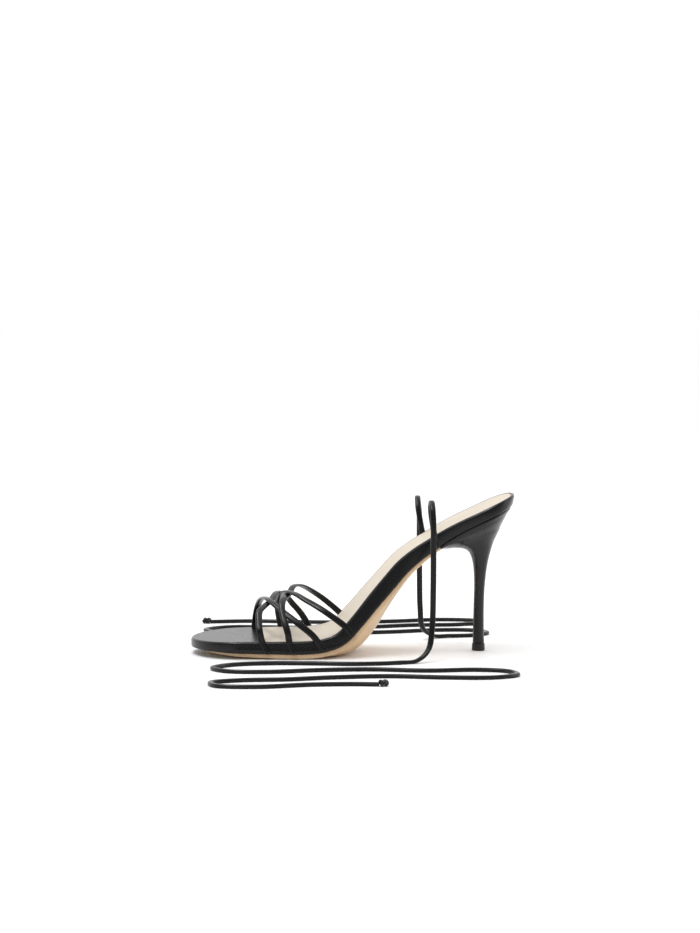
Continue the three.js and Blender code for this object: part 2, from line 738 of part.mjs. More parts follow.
// A flat strap of rounded section swept along a path, its flat side facing out
const strapSides = 10;
const sectionSwell = 1.03;
function strapGeometry(points, outward, steps, grow) {
  const path = new THREE.CatmullRomCurve3(points, false, 'centripetal');
  const places = path.getSpacedPoints(steps);
  const halfWide = (strapWidth / 2 + grow) * sectionSwell;
  const halfThick = (strapThickness / 2 + grow) * sectionSwell;
  const rings = places.map((place, i) => {
    const ahead = places[Math.min(i + 1, steps)];
    const behind = places[Math.max(i - 1, 0)];
    const tangent = ahead.clone().sub(behind).normalize();
    const across = tangent.clone().cross(outward(place)).normalize();
    const up = across.clone().cross(tangent).normalize();
    const end = i === 0 ? -grow : i === steps ? grow : 0;
    const ring = [];
    for (let k = 0; k < strapSides; k += 1) {
      const turn = ((k + 0.5) / strapSides) * Math.PI * 2;
      const point = place.clone().addScaledVector(tangent, end);
      point.addScaledVector(across, halfWide * Math.cos(turn));
      point.addScaledVector(up, halfThick * Math.sin(turn));
      ring.push(point);
    }
    return ring;
  });
  return skin(rings, facingPairs(strapSides));
}

// Outward direction over the foot: sideways at the rim, upward at the crest
const outwardPower = 1.5;
const leastUp = 0.02;
function footOutward(crest) {
  return (place) => {
    const across = place.y / (ballWidth / 2);
    const up = Math.max(place.z - ballHeight, 0) / (strapRise * crest);
    return new THREE.Vector3(0, Math.sign(across) * Math.abs(across) ** outwardPower, up + leastUp);
  };
}

function strapPath(strap) {
  const overFoot = strap.path.map(({ along, across, up }) => new THREE.Vector3(
    shoeLength * (along - 0.5),
    (across * ballWidth) / 2,
    ballHeight + strapRise * up,
  ));
  const outerWall = wallPoints(strap.outerAt, -1, strap.outerSlant);
  const innerWall = wallPoints(strap.innerAt, 1, strap.innerSlant);
  return [...outerWall, ...overFoot, ...innerWall.reverse()];
}

const strapSteps = 34;
function strapSolid(strap, grow) {
  return toSolid(strapGeometry(strapPath(strap), footOutward(strap.crest), strapSteps, grow));
}

// Upper: the four straps joined where they cross
function upperGeometry() {
  return fromSolid(straps.map((strap) => strapSolid(strap, 0)).reduce((sum, strap) => sum.add(strap)));
}

// Anchors of the ankle ties: a strap end on the rim that stands up a little above it
function anchorPath(along, side) {
  const wall = wallPoints(along, side, tieSlant);
  const top = wall[wall.length - 1];
  const lean = new THREE.Vector3(-tieLeanBack, side * tieLeanOut, 1).normalize();
  const standing = [tieStand / 2, tieStand].map((up) => top.clone().addScaledVector(lean, up));
  return [...wall, ...standing];
}

const anchorSteps = 8;
function anchorGeometry(along, side, grow) {
  const sideways = () => new THREE.Vector3(0, side, 0);
  return strapGeometry(anchorPath(along, side), sideways, anchorSteps, grow);
}

// Ties: one long cord each, from the anchor to the floor
function tieCurve(along, side, route) {
  const anchor = anchorPath(along, side);
  const end = anchor[anchor.length - 1];
  const direction = end.clone().sub(anchor[anchor.length - 2]).normalize();
  const start = end.clone().addScaledVector(direction, gap);
  const points = [start, ...route.map((point) => new THREE.Vector3(...point))];
  return new THREE.CatmullRomCurve3(points, false, 'centripetal');
}

const tieSides = 8;
const tieSteps = 92;
function tieGeometry(curve) {
  const corners = [];
  for (let k = 0; k < tieSides; k += 1) {
    const turn = (k / tieSides) * Math.PI * 2;
    corners.push(new THREE.Vector2(Math.cos(turn), Math.sin(turn)).multiplyScalar(tieDiameter / 2));
  }
  const section = new THREE.Shape(corners);
  const sweep = { steps: tieSteps, extrudePath: curve, bevelEnabled: false };
  const geometry = new THREE.ExtrudeGeometry(section, sweep);
  geometry.deleteAttribute('normal');
  geometry.deleteAttribute('uv');
  return mergeVertices(geometry, mergeDistance);
}

// Small knot at the end of a tie, resting on the floor
const knotForm = { wide: 0.85, tall: 0.8 };
function knotMesh(name, curve) {
  const geometry = new THREE.SphereGeometry(knotDiameter / 2, 12, 8);
  geometry.scale(1, knotForm.wide, knotForm.tall);
  const mesh = new THREE.Mesh(geometry, blackLeather);
  const end = curve.getPoint(1);
  const direction = curve.getTangent(1);
  mesh.position.copy(end).addScaledVector(direction, knotDiameter / 2 + gap);
  mesh.position.z = (knotDiameter / 2) * knotForm.tall + knotLift;
  mesh.rotation.z = Math.atan2(direction.y, direction.x);
  mesh.name = name;
  return mesh;
}

function named(name, geometry, material) {
  const mesh = new THREE.Mesh(geometry, material);
  mesh.name = name;
  return mesh;
}

// Footbed with a seat cut for each strap and tie end
function slottedFootbed() {
  let footbed = toSolid(footbedGeometry());
  for (const strap of straps) footbed = footbed.subtract(strapSolid(strap, gap));
  footbed = footbed.subtract(toSolid(anchorGeometry(tieAt.outer, -1, gap)));
  footbed = footbed.subtract(toSolid(anchorGeometry(tieAt.inner, 1, gap)));
  return fromSolid(footbed);
}

const shoe = new THREE.Group();
shoe.add(named('outsole', outsoleGeometry(), tanSole));
shoe.add(named('footbed', slottedFootbed(), blackLeather));
shoe.add(named('sock_lining', liningGeometry(), beigeLining));
shoe.add(named('heel', heelGeometry(), blackGloss));
shoe.add(named('top_lift', liftGeometry(), blackRubber));
shoe.add(named('upper', upperGeometry(), blackLeather));
shoe.add(named('tie_anchor_lateral', anchorGeometry(tieAt.outer, -1, 0), blackLeather));
shoe.add(named('tie_anchor_medial', anchorGeometry(tieAt.inner, 1, 0), blackLeather));
const outerTie = tieCurve(tieAt.outer, -1, outerTieRoute);
const innerTie = tieCurve(tieAt.inner, 1, innerTieRoute);
shoe.add(named('tie_lateral', tieGeometry(outerTie), blackLeather));
shoe.add(named('tie_medial', tieGeometry(innerTie), blackLeather));
shoe.add(knotMesh('tie_knot_lateral', outerTie));
shoe.add(knotMesh('tie_knot_medial', innerTie));

export default shoe;
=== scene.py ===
"""Looks of the strappy stiletto sandal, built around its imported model.

Sizes are millimetres, as in the part's source, and become metres when a mesh is made.
The toe points to -X, the outer side of this left shoe to -Y, and the floor is z = 0.
"""
import math

import bmesh
import bpy
import numpy as np
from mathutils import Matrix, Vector


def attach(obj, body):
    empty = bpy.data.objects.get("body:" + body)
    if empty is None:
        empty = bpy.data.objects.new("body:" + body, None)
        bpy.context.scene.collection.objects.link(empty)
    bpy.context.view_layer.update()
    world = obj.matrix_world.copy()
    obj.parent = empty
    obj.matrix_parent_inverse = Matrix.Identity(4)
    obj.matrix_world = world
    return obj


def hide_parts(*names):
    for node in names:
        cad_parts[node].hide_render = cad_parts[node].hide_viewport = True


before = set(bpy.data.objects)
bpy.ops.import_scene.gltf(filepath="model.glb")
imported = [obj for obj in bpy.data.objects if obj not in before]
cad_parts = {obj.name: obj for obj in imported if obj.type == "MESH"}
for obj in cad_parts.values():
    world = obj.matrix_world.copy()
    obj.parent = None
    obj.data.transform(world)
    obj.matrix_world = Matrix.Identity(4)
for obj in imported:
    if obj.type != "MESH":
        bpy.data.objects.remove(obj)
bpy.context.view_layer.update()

MM = 0.001

# Driving sizes of the last, as in the part's source
SHOE_LENGTH = 214.4
BALL_WIDTH = 79
BALL_HEIGHT = 11.7
SEAT_RISE = 91.8
TOE_ROUND = 31
TOE_POWER = 2.1
SEAT_ROUND = 25
SEAT_POWER = 2.3
SEAT_END_LEAN = math.radians(34)
SEAT_LEAN_FROM = 0.86

# Driving sizes of the footbed, its lining and the outsole
RIM_DEPTH = 10
RIM_TOP_RADIUS = 1.9
RIM_FOOT_RADIUS = 1.3
RIM_BORDER = 2.6
RIM_TUCK_SHARE = 0.5
LINING_THICKNESS = 0.8
LINING_FRONT_AT = 0.18
LINING_EDGE_RADIUS = 0.45
SOLE_EDGE = 2.9
SOLE_BEVEL = 0.3
SOLE_ROUND = 0.6
SOLE_FLAT_SHARE = 0.75
SPINE_SHARE = 0.9
SOLE_BELLY = 8.2
BELLY_POWER = 2.3
SOLE_INSET = 1
TOE_TUCK = 6
BREAST_AT = 0.748

# Driving sizes of the heel and its top lift
STEM_DEPTH = 7.6
STEM_WIDTH = 8
HEEL_AXIS_AT = 0.8895
HEEL_INSET = 0.9
CUP_LIP = 1.4
CUP_DROP = 1.4
LIFT_HEIGHT = 5
SEAT_MIDDLE = 0.4

# Driving sizes of the straps and ties
STRAP_WIDTH = 4.3
STRAP_THICKNESS = 1.95
STRAP_RISE = 32
STRAP_SINK = 0.75
TIE_AT = {-1: 0.7415, 1: 0.722}
TIE_SLANT = -0.42
TIE_STAND = 9
TIE_LEAN_BACK = 0.16
TIE_LEAN_OUT = 0.1
TIE_DIAMETER = 3.2
TIE_WIDTH = 3.8
TIE_THICKNESS = 2.5

# Seams between pieces that touch in the real shoe
SEAM = 0.12
GAP = 0.3

# Fine forms of the soft leather, which only the looks need
LINING_SEAT_RAMP = 0.6
LINING_SEAT_CORNER = 0.12
WALL_CROWN = 0.12
LINING_UNDER_GAP = 0.02
LINING_TOP_DEPTH = 0.05
LINING_CROWN = 0.25
OUTLINE_SPACING = 1.8
STRAP_WALL_SHARES = (0.88, 0.5, 0.1)
STRAP_TUCK_SHARE = 1.06
STRAP_TUCK_SLANT = 0.95
STRAP_TUCK_IN = 1.3
STRAP_SPACING = 0.7
TIE_SPACING = 0.8
BAND_POWER = 2.5
HEEL_RINGS_BETWEEN = 8
HEEL_EASED_RINGS = 20
HEEL_EASING_PASSES = 25
TIE_TURNS_FLAT_OVER = (3, 24)
TIE_SINKS_OVER = (2, 20)
KNOT_LOOK_BACK = 6
KNOT_SIZE = 0.78
KNOT_RISE = 0.85
KNOT_AHEAD = 2.6
KNOT_HEIGHT = 2.15
KNOT_STRAND_RADIUS = 1.15

# Height of the footbed's top, in shares of SHOE_LENGTH and of SEAT_RISE
FOOTBED_LINE = [
    {"along": 0.0, "rise": -0.014},
    {"along": 0.07, "rise": -0.008},
    {"along": 0.14, "rise": -0.003},
    {"along": 0.26, "rise": 0.0},
    {"along": 0.35, "rise": 0.004},
    {"along": 0.4, "rise": 0.018},
    {"along": 0.445, "rise": 0.06},
    {"along": 0.49, "rise": 0.173},
    {"along": 0.54, "rise": 0.314},
    {"along": 0.585, "rise": 0.435},
    {"along": 0.63, "rise": 0.55},
    {"along": 0.68, "rise": 0.641},
    {"along": 0.73, "rise": 0.713},
    {"along": 0.78, "rise": 0.782},
    {"along": 0.83, "rise": 0.842},
    {"along": 0.88, "rise": 0.896},
    {"along": 0.94, "rise": 0.962},
    {"along": 1.0, "rise": 1.02},
]

# Sections of the sole, square to the footbed line
SOLE_SECTIONS = [
    {"along": 0.0, "outer": 0.42, "inner": 0.42, "rim": 0.68, "edge": 0.4, "belly": 0.0, "tuck": 1.0},
    {"along": 0.06, "outer": 0.445, "inner": 0.45, "rim": 0.73, "edge": 0.55, "belly": 0.05, "tuck": 0.9},
    {"along": 0.12, "outer": 0.462, "inner": 0.477, "rim": 0.78, "edge": 0.75, "belly": 0.1, "tuck": 0.5},
    {"along": 0.19, "outer": 0.478, "inner": 0.497, "rim": 0.8, "edge": 0.92, "belly": 0.1, "tuck": 0.12},
    {"along": 0.25, "outer": 0.495, "inner": 0.505, "rim": 0.83, "edge": 1.0, "belly": 0.1, "tuck": 0.0},
    {"along": 0.31, "outer": 0.505, "inner": 0.492, "rim": 0.85, "edge": 1.0, "belly": 0.14, "tuck": 0.0},
    {"along": 0.35, "outer": 0.497, "inner": 0.472, "rim": 0.86, "edge": 1.0, "belly": 0.45, "tuck": 0.0},
    {"along": 0.395, "outer": 0.475, "inner": 0.438, "rim": 0.88, "edge": 0.98, "belly": 1.0, "tuck": 0.0},
    {"along": 0.455, "outer": 0.437, "inner": 0.395, "rim": 0.92, "edge": 0.9, "belly": 1.0, "tuck": 0.0},
    {"along": 0.52, "outer": 0.39, "inner": 0.35, "rim": 0.97, "edge": 0.83, "belly": 0.68, "tuck": 0.0},
    {"along": 0.58, "outer": 0.352, "inner": 0.325, "rim": 1.0, "edge": 0.8, "belly": 0.42, "tuck": 0.0},
    {"along": 0.645, "outer": 0.32, "inner": 0.315, "rim": 0.98, "edge": 0.75, "belly": 0.31, "tuck": 0.0},
    {"along": 0.7, "outer": 0.305, "inner": 0.31, "rim": 0.91, "edge": 0.68, "belly": 0.26, "tuck": 0.0},
    {"along": 0.75, "outer": 0.3, "inner": 0.31, "rim": 0.82, "edge": 0.6, "belly": 0.16, "tuck": 0.0},
    {"along": 0.8, "outer": 0.302, "inner": 0.316, "rim": 0.75, "edge": 0.5, "belly": 0.08, "tuck": 0.0},
    {"along": 0.88, "outer": 0.318, "inner": 0.328, "rim": 0.7, "edge": 0.5, "belly": 0.0, "tuck": 0.0},
    {"along": 1.0, "outer": 0.325, "inner": 0.33, "rim": 0.68, "edge": 0.5, "belly": 0.0, "tuck": 0.0},
]

# Rings of the covered heel, from the foot of the stem up to the cup
HEEL_COLUMNS = ("rear", "rear_z", "mid", "mid_z", "front", "front_z", "wide", "seat")
HEEL_RINGS = [
    (0.074, 0.19, 0.0, 0.19, -0.074, 0.19, 0.155, 0),
    (0.076, 0.38, 0.0, 0.38, -0.066, 0.38, 0.157, 0),
    (0.09, 0.515, 0.005, 0.52, -0.061, 0.525, 0.18, 0),
    (0.122, 0.645, 0.01, 0.655, -0.074, 0.66, 0.25, 0.05),
    (0.162, 0.73, -0.02, 0.745, -0.106, 0.745, 0.36, 0.12),
    (0.2, 0.79, -0.075, 0.815, -0.155, 0.8, 0.48, 0.25),
    (0.25, 0.84, -0.155, 0.878, -0.25, 0.845, 0.63, 0.45),
    (0.308, 0.897, -0.26, 0.925, -0.37, 0.88, 0.78, 0.65),
    (0.372, 0.95, -0.375, 0.957, -0.475, 0.912, 0.9, 0.85),
]

# The woven straps: along is a share of SHOE_LENGTH, across of half BALL_WIDTH, up of STRAP_RISE
STRAPS = {
    "strap_front_outer": {
        "outer_at": 0.3835, "inner_at": 0.2, "outer_slant": 0.5, "inner_slant": 0.55, "crest": 0.78,
        "path": [
            (0.369, -1.01, 0.13),
            (0.329, -0.96, 0.35),
            (0.2916, -0.83, 0.53),
            (0.266, -0.63, 0.648),
            (0.24, -0.337, 0.76),
            (0.225, 0.15, 0.735),
            (0.213, 0.65, 0.57),
            (0.2055, 0.88, 0.35),
            (0.2014, 0.995, 0.12),
        ],
    },
    "strap_front_inner": {
        "outer_at": 0.2173, "inner_at": 0.37, "outer_slant": 0.55, "inner_slant": 0.5, "crest": 0.84,
        "path": [
            (0.2084, -0.965, 0.22),
            (0.207, -0.848, 0.385),
            (0.21, -0.623, 0.575),
            (0.224, -0.46, 0.65),
            (0.243, -0.28, 0.728),
            (0.263, 0.12, 0.84),
            (0.279, 0.43, 0.805),
            (0.303, 0.757, 0.64),
            (0.3196, 0.89, 0.49),
            (0.341, 0.97, 0.32),
            (0.358, 1.005, 0.15),
        ],
    },
    "strap_rear_outer": {
        "outer_at": 0.466, "inner_at": 0.284, "outer_slant": -0.2, "inner_slant": 0.5, "crest": 0.92,
        "path": [
            (0.4065, -0.885, 0.6),
            (0.371, -0.757, 0.735),
            (0.345, -0.638, 0.82),
            (0.325, -0.481, 0.885),
            (0.301, -0.215, 0.912),
            (0.2865, 0.13, 0.858),
            (0.277, 0.49, 0.75),
            (0.271, 0.86, 0.5),
            (0.277, 1.0, 0.18),
        ],
    },
    "strap_rear_inner": {
        "outer_at": 0.2986, "inner_at": 0.466, "outer_slant": 0.5, "inner_slant": -0.2, "crest": 0.98,
        "path": [
            (0.2935, -1.015, 0.18),
            (0.286, -0.95, 0.355),
            (0.281, -0.87, 0.48),
            (0.277, -0.73, 0.66),
            (0.283, -0.494, 0.8),
            (0.3, -0.203, 0.85),
            (0.318, 0.15, 0.975),
            (0.345, 0.466, 0.935),
            (0.382, 0.742, 0.77),
            (0.421, 0.88, 0.57),
        ],
    },
}

# Routes of the ties from their anchors to the floor and along it, as in the part's source
TIE_ROUTES = {
    -1: [
        (49.5, -27.2, 95.5),
        (49.2, -31.5, 100.6),
        (49.2, -38.0, 102.0),
        (49.3, -44.0, 98.0),
        (49.6, -46.5, 90.0),
        (49.6, -47.5, 70.0),
        (49.4, -48.5, 45.0),
        (48.6, -50.0, 22.0),
        (46.0, -53.5, 8.5),
        (38.5, -58.5, 2.3),
        (26.0, -63.0, 1.7),
        (0.0, -67.0, 1.7),
        (-30.0, -63.0, 1.7),
        (-58.0, -61.0, 1.7),
        (-82.0, -67.0, 1.7),
        (-93.0, -80.0, 1.7),
        (-84.0, -94.0, 1.7),
        (-58.0, -98.0, 1.7),
        (-25.0, -92.0, 1.7),
        (8.0, -91.0, 1.7),
        (42.0, -98.0, 1.7),
        (72.0, -96.0, 1.7),
        (92.0, -103.0, 1.7),
        (96.0, -119.0, 1.7),
        (80.0, -129.0, 1.7),
        (50.0, -127.0, 1.7),
        (16.0, -120.0, 1.7),
        (-18.0, -123.0, 1.7),
        (-48.0, -130.0, 1.7),
        (-76.0, -132.0, 1.7),
        (-94.0, -140.0, 1.7),
        (-91.0, -154.0, 1.7),
        (-66.0, -159.0, 1.7),
        (-34.0, -152.0, 1.7),
        (-8.0, -151.0, 1.7),
        (8.0, -153.0, 1.7),
    ],
    1: [
        (45.4, 27.4, 92.5),
        (45.4, 31.8, 97.6),
        (45.8, 38.2, 99.0),
        (46.6, 44.0, 95.0),
        (47.6, 46.6, 87.0),
        (47.8, 47.5, 68.0),
        (48.0, 48.5, 45.0),
        (48.6, 50.0, 22.0),
        (50.5, 53.5, 8.5),
        (57.5, 58.5, 2.6),
        (70.0, 62.0, 1.8),
        (88.0, 66.0, 1.7),
        (97.0, 78.0, 1.7),
        (88.0, 91.0, 1.7),
        (62.0, 93.0, 1.7),
        (30.0, 85.0, 1.7),
        (-4.0, 82.0, 1.7),
        (-38.0, 87.0, 1.7),
        (-68.0, 84.0, 1.7),
        (-90.0, 88.0, 1.7),
        (-97.0, 103.0, 1.7),
        (-82.0, 116.0, 1.7),
        (-52.0, 115.0, 1.7),
        (-18.0, 108.0, 1.7),
        (18.0, 112.0, 1.7),
        (50.0, 120.0, 1.7),
        (78.0, 121.0, 1.7),
        (96.0, 129.0, 1.7),
        (94.0, 143.0, 1.7),
        (70.0, 149.0, 1.7),
        (38.0, 142.0, 1.7),
        (4.0, 138.0, 1.7),
        (-30.0, 142.0, 1.7),
        (-64.0, 148.0, 1.7),
        (-94.0, 146.0, 1.7),
    ],
}


# Curves

def column_curve(rows, column):
    """A smooth curve through one column of a table, for arrays of places along."""
    knots = np.array([row["along"] for row in rows])
    values = np.array([row[column] for row in rows])
    last = len(knots) - 1
    before = np.maximum(np.arange(last + 1) - 1, 0)
    after = np.minimum(np.arange(last + 1) + 1, last)
    slopes = (values[after] - values[before]) / (knots[after] - knots[before])

    def curve(along):
        along = np.asarray(along, float)
        i = np.clip(np.searchsorted(knots, along) - 1, 0, last - 1)
        step = knots[i + 1] - knots[i]
        t = np.clip((along - knots[i]) / step, 0, 1)
        ease = t * t * (3 - 2 * t)
        leave = t * (1 - t) ** 2 * step * slopes[i]
        arrive = t * t * (t - 1) * step * slopes[i + 1]
        return values[i] * (1 - ease) + values[i + 1] * ease + leave + arrive

    return curve


def spline(points, spacing):
    """Evenly spaced places on a centripetal Catmull-Rom curve through the points."""
    points = np.array(points, float)
    first = 2 * points[0] - points[1]
    last = 2 * points[-1] - points[-2]
    padded = np.vstack([first, points, last])
    dense = []
    t = np.linspace(0, 1, 24, endpoint=False)[:, None]
    for p0, p1, p2, p3 in zip(padded, padded[1:], padded[2:], padded[3:]):
        d0, d1, d2 = (math.sqrt(np.linalg.norm(b - a)) for a, b in ((p0, p1), (p1, p2), (p2, p3)))
        m1 = d1 * ((p1 - p0) / d0 - (p2 - p0) / (d0 + d1) + (p2 - p1) / d1)
        m2 = d1 * ((p2 - p1) / d1 - (p3 - p1) / (d1 + d2) + (p3 - p2) / d2)
        a = 2 * p1 - 2 * p2 + m1 + m2
        b = -3 * p1 + 3 * p2 - 2 * m1 - m2
        dense.append(p1 + m1 * t + b * t ** 2 + a * t ** 3)
    dense = np.vstack(dense + [points[-1:]])
    return even_places(dense, spacing)


def even_places(dense, spacing):
    run = np.concatenate([[0], np.cumsum(np.linalg.norm(np.diff(dense, axis=0), axis=1))])
    steps = max(int(round(run[-1] / spacing)), 2)
    even = np.linspace(0, run[-1], steps + 1)
    return np.stack([np.interp(even, run, dense[:, k]) for k in range(3)], axis=1)


def smoothstep(value, low, high):
    t = np.clip((value - low) / (high - low), 0, 1)
    return t * t * (3 - 2 * t)


# The footbed line, measured out by its own length
LINE_SHARES = np.linspace(0, 1, 601)
LINE_X = SHOE_LENGTH * (LINE_SHARES - 0.5)
LINE_Z = BALL_HEIGHT + SEAT_RISE * column_curve(FOOTBED_LINE, "rise")(LINE_SHARES)
LINE_RUN = np.concatenate([[0], np.cumsum(np.hypot(np.diff(LINE_X), np.diff(LINE_Z)))])
LINE_SLOPE = np.arctan2(np.gradient(LINE_Z), np.gradient(LINE_X))
FOOTBED_RUN = LINE_RUN[-1]
LINING_RUN = LINING_FRONT_AT * FOOTBED_RUN
BREAST_RUN = BREAST_AT * FOOTBED_RUN

SIDE_SHARE = {-1: column_curve(SOLE_SECTIONS, "outer"), 1: column_curve(SOLE_SECTIONS, "inner")}
SHARE = {name: column_curve(SOLE_SECTIONS, name) for name in ("rim", "edge", "belly", "tuck")}


def rim_at(run):
    return RIM_DEPTH * SHARE["rim"](run / FOOTBED_RUN)


def edge_at(run):
    return SOLE_EDGE * SHARE["edge"](run / FOOTBED_RUN)


def belly_at(run):
    return SOLE_BELLY * SHARE["belly"](run / FOOTBED_RUN)


def tuck_at(run):
    return TOE_TUCK * SHARE["tuck"](run / FOOTBED_RUN)


def round_end(distance, length, power):
    inside = np.clip(1 - distance / length, 0, 1)
    return (1 - inside ** power) ** (1 / power)


def half_width(run, side):
    run = np.asarray(run, float)
    width = BALL_WIDTH * SIDE_SHARE[side](run / FOOTBED_RUN)
    toe = round_end(run, TOE_ROUND, TOE_POWER)
    return width * toe * round_end(FOOTBED_RUN - run, SEAT_ROUND, SEAT_POWER)


def sole_point(run, y, depth):
    """Points of the sole: run along the footbed line, y across and a depth below its top."""
    run, y, depth = np.broadcast_arrays(*(np.asarray(v, float) for v in (run, y, depth)))
    lean = SEAT_END_LEAN * smoothstep(run / FOOTBED_RUN, SEAT_LEAN_FROM, 1)
    down = depth / np.cos(lean)
    angle = np.interp(run, LINE_RUN, LINE_SLOPE) - lean
    x = np.interp(run, LINE_RUN, LINE_X) + down * np.sin(angle)
    z = np.interp(run, LINE_RUN, LINE_Z) - down * np.cos(angle)
    return np.stack([x, y, z], axis=-1)


# Outlines of the sole

def sole_stations(start, stop, fixed=()):
    """Runs along the sole, close together at the round ends."""
    turn = np.linspace(0, math.pi / 2, 26)
    toe = TOE_ROUND * (1 - np.cos(turn))
    seat = FOOTBED_RUN - SEAT_ROUND + SEAT_ROUND * np.sin(turn)
    middle = np.arange(TOE_ROUND, FOOTBED_RUN - SEAT_ROUND, OUTLINE_SPACING)[1:]
    runs = np.concatenate([toe, middle, seat])
    kept = [r for r in runs if start < r < stop and all(abs(r - f) > 0.5 for f in (start, stop, *fixed))]
    return np.array(sorted([start, *kept, *fixed, stop]))


class Outline:
    """The sole's outline between two runs, as one loop from the front down the outer side."""

    def __init__(self, start, stop, fixed=()):
        runs = sole_stations(start, stop, fixed)
        self.cut_start = start >= TOE_ROUND
        self.cut_end = stop <= FOOTBED_RUN - SEAT_ROUND
        inner = runs[::-1]
        if not self.cut_end:
            inner = inner[1:]
        if not self.cut_start:
            inner = inner[:-1]
        self.count = len(runs)
        self.run = np.concatenate([runs, inner])
        self.y = np.concatenate([-half_width(runs, -1), half_width(inner, 1)])

    def drawn_in(self, inset):
        """The loop drawn in square to itself; a straight cut end stays where it is."""
        before = np.roll(np.arange(len(self.run)), 1)
        after = np.roll(np.arange(len(self.run)), -1)
        fixed = np.zeros(len(self.run), bool)
        if self.cut_start:
            before[0] = 0
            after[-1] = len(self.run) - 1
            fixed[[0, -1]] = True
        if self.cut_end:
            after[self.count - 1] = self.count - 1
            before[self.count] = self.count
            fixed[[self.count - 1, self.count]] = True
        d_run = self.run[after] - self.run[before]
        d_y = self.y[after] - self.y[before]
        length = np.hypot(d_run, d_y)
        run = np.where(fixed, self.run, self.run - d_y / length * inset)
        return run, self.y + d_run / length * inset

    def ring(self, inset, depth):
        run, y = self.drawn_in(inset)
        return sole_point(run, y, depth)

    def filled(self, inset, depth_at, shares):
        """Rings that close in from the drawn-in loop to the middle line."""
        rim_run, rim_y = self.drawn_in(inset)
        low = self.run.min() if self.cut_start else TOE_ROUND * SPINE_SHARE
        high = self.run.max() if self.cut_end else FOOTBED_RUN - SEAT_ROUND * SPINE_SHARE
        spine = np.clip(self.run, low, high)
        rings = []
        for share in shares:
            run = rim_run + (spine - rim_run) * share
            rings.append(sole_point(run, rim_y * (1 - share), depth_at(share)))
        return rings


# Meshes
CREASE_ANGLE = math.radians(50)


def make_mesh(name, points, faces, crease=CREASE_ANGLE):
    mesh = bpy.data.meshes.new(name)
    mesh.from_pydata([tuple(p) for p in np.asarray(points) * MM], [], faces)
    mesh.validate()
    piece = bpy.data.objects.new(name, mesh)
    bpy.context.scene.collection.objects.link(piece)
    return tidy_mesh(piece, crease)


def tidy_mesh(piece, crease):
    """Joined, facing out and smooth."""
    bm = bmesh.new()
    bm.from_mesh(piece.data)
    bmesh.ops.remove_doubles(bm, verts=bm.verts, dist=2e-6)
    bmesh.ops.dissolve_degenerate(bm, edges=bm.edges, dist=1e-7)
    bmesh.ops.recalc_face_normals(bm, faces=bm.faces)
    bm.to_mesh(piece.data)
    bm.free()
    for polygon in piece.data.polygons:
        polygon.use_smooth = True
    piece.data.set_sharp_from_angle(angle=crease)
    return piece


def ring_mesh(name, rings, cap=True, crease=CREASE_ANGLE):
    """A skin over rings of equal size; its first and last ring are closed by a fan."""
    size = len(rings[0])
    points = np.vstack(rings)
    faces = []
    for r in range(len(rings) - 1):
        for i in range(size):
            a = r * size + i
            b = r * size + (i + 1) % size
            faces.append((a, b, b + size, a + size))
    if cap:
        faces.append(tuple(range(size)))
        faces.append(tuple(range((len(rings) - 1) * size, len(rings) * size)))
    return make_mesh(name, points, faces, crease)


# Sole pieces

def arc(start, stop, steps):
    return np.radians(np.linspace(start, stop, steps))


def build_footbed():
    """Insole board wrapped in black leather: rolled edge, plain toe cover, seat for the lining."""
    ramp_start = LINING_RUN - LINING_SEAT_RAMP
    shape = Outline(0, FOOTBED_RUN, (ramp_start, LINING_RUN - LINING_SEAT_RAMP / 2, LINING_RUN))
    rim = rim_at(shape.run)
    tuck = tuck_at(shape.run)
    foot_inset = RIM_FOOT_RADIUS + tuck * RIM_TUCK_SHARE * math.radians(80)
    rings = shape.filled(foot_inset, lambda share: rim, np.linspace(1, 0, 6))
    for turn in arc(75, 0, 6):
        inset = RIM_FOOT_RADIUS * (1 - math.cos(turn)) + tuck * RIM_TUCK_SHARE * turn
        rings.append(shape.ring(inset, rim - RIM_FOOT_RADIUS * (1 - math.sin(turn))))
    foot = rim - RIM_FOOT_RADIUS
    for share in (0.3, 0.6):
        crown = WALL_CROWN * math.sin(share * math.pi)
        rings.append(shape.ring(-crown, foot + (RIM_TOP_RADIUS - foot) * share))
    for turn in arc(90, 0, 9):
        inset = RIM_TOP_RADIUS * (1 - math.sin(turn))
        rings.append(shape.ring(inset, RIM_TOP_RADIUS * (1 - math.cos(turn))))
    sunk = smoothstep(shape.run, ramp_start, LINING_RUN) * (LINING_THICKNESS + GAP)
    rings.append(shape.ring(RIM_BORDER - 0.2, 0))
    rings.append(shape.ring(RIM_BORDER, sunk * 0.25))
    rings.append(shape.ring(RIM_BORDER + LINING_SEAT_CORNER, sunk))
    rings += shape.filled(RIM_BORDER + 0.2, lambda share: sunk, np.linspace(0, 1, 12))
    return ring_mesh("footbed_leather", rings, cap=False)


def build_lining():
    """Sock lining: thin sheet with a soft rounded edge, laid in the footbed's recess."""
    shape = Outline(LINING_RUN + SEAM, FOOTBED_RUN)
    edge = RIM_BORDER + SEAM
    underside = LINING_THICKNESS + GAP - LINING_UNDER_GAP
    rings = shape.filled(edge, lambda share: underside, np.linspace(1, 0, 4))
    for turn in arc(90, 0, 6):
        inset = edge + LINING_EDGE_RADIUS * (1 - math.sin(turn))
        rings.append(shape.ring(inset, LINING_TOP_DEPTH + LINING_EDGE_RADIUS * (1 - math.cos(turn))))

    def crowned(share):
        return LINING_TOP_DEPTH - LINING_CROWN * smoothstep(share, 0, 0.5)

    rings += shape.filled(edge + LINING_EDGE_RADIUS, crowned, np.linspace(0, 1, 14))
    return ring_mesh("sock_lining_leather", rings, cap=False)


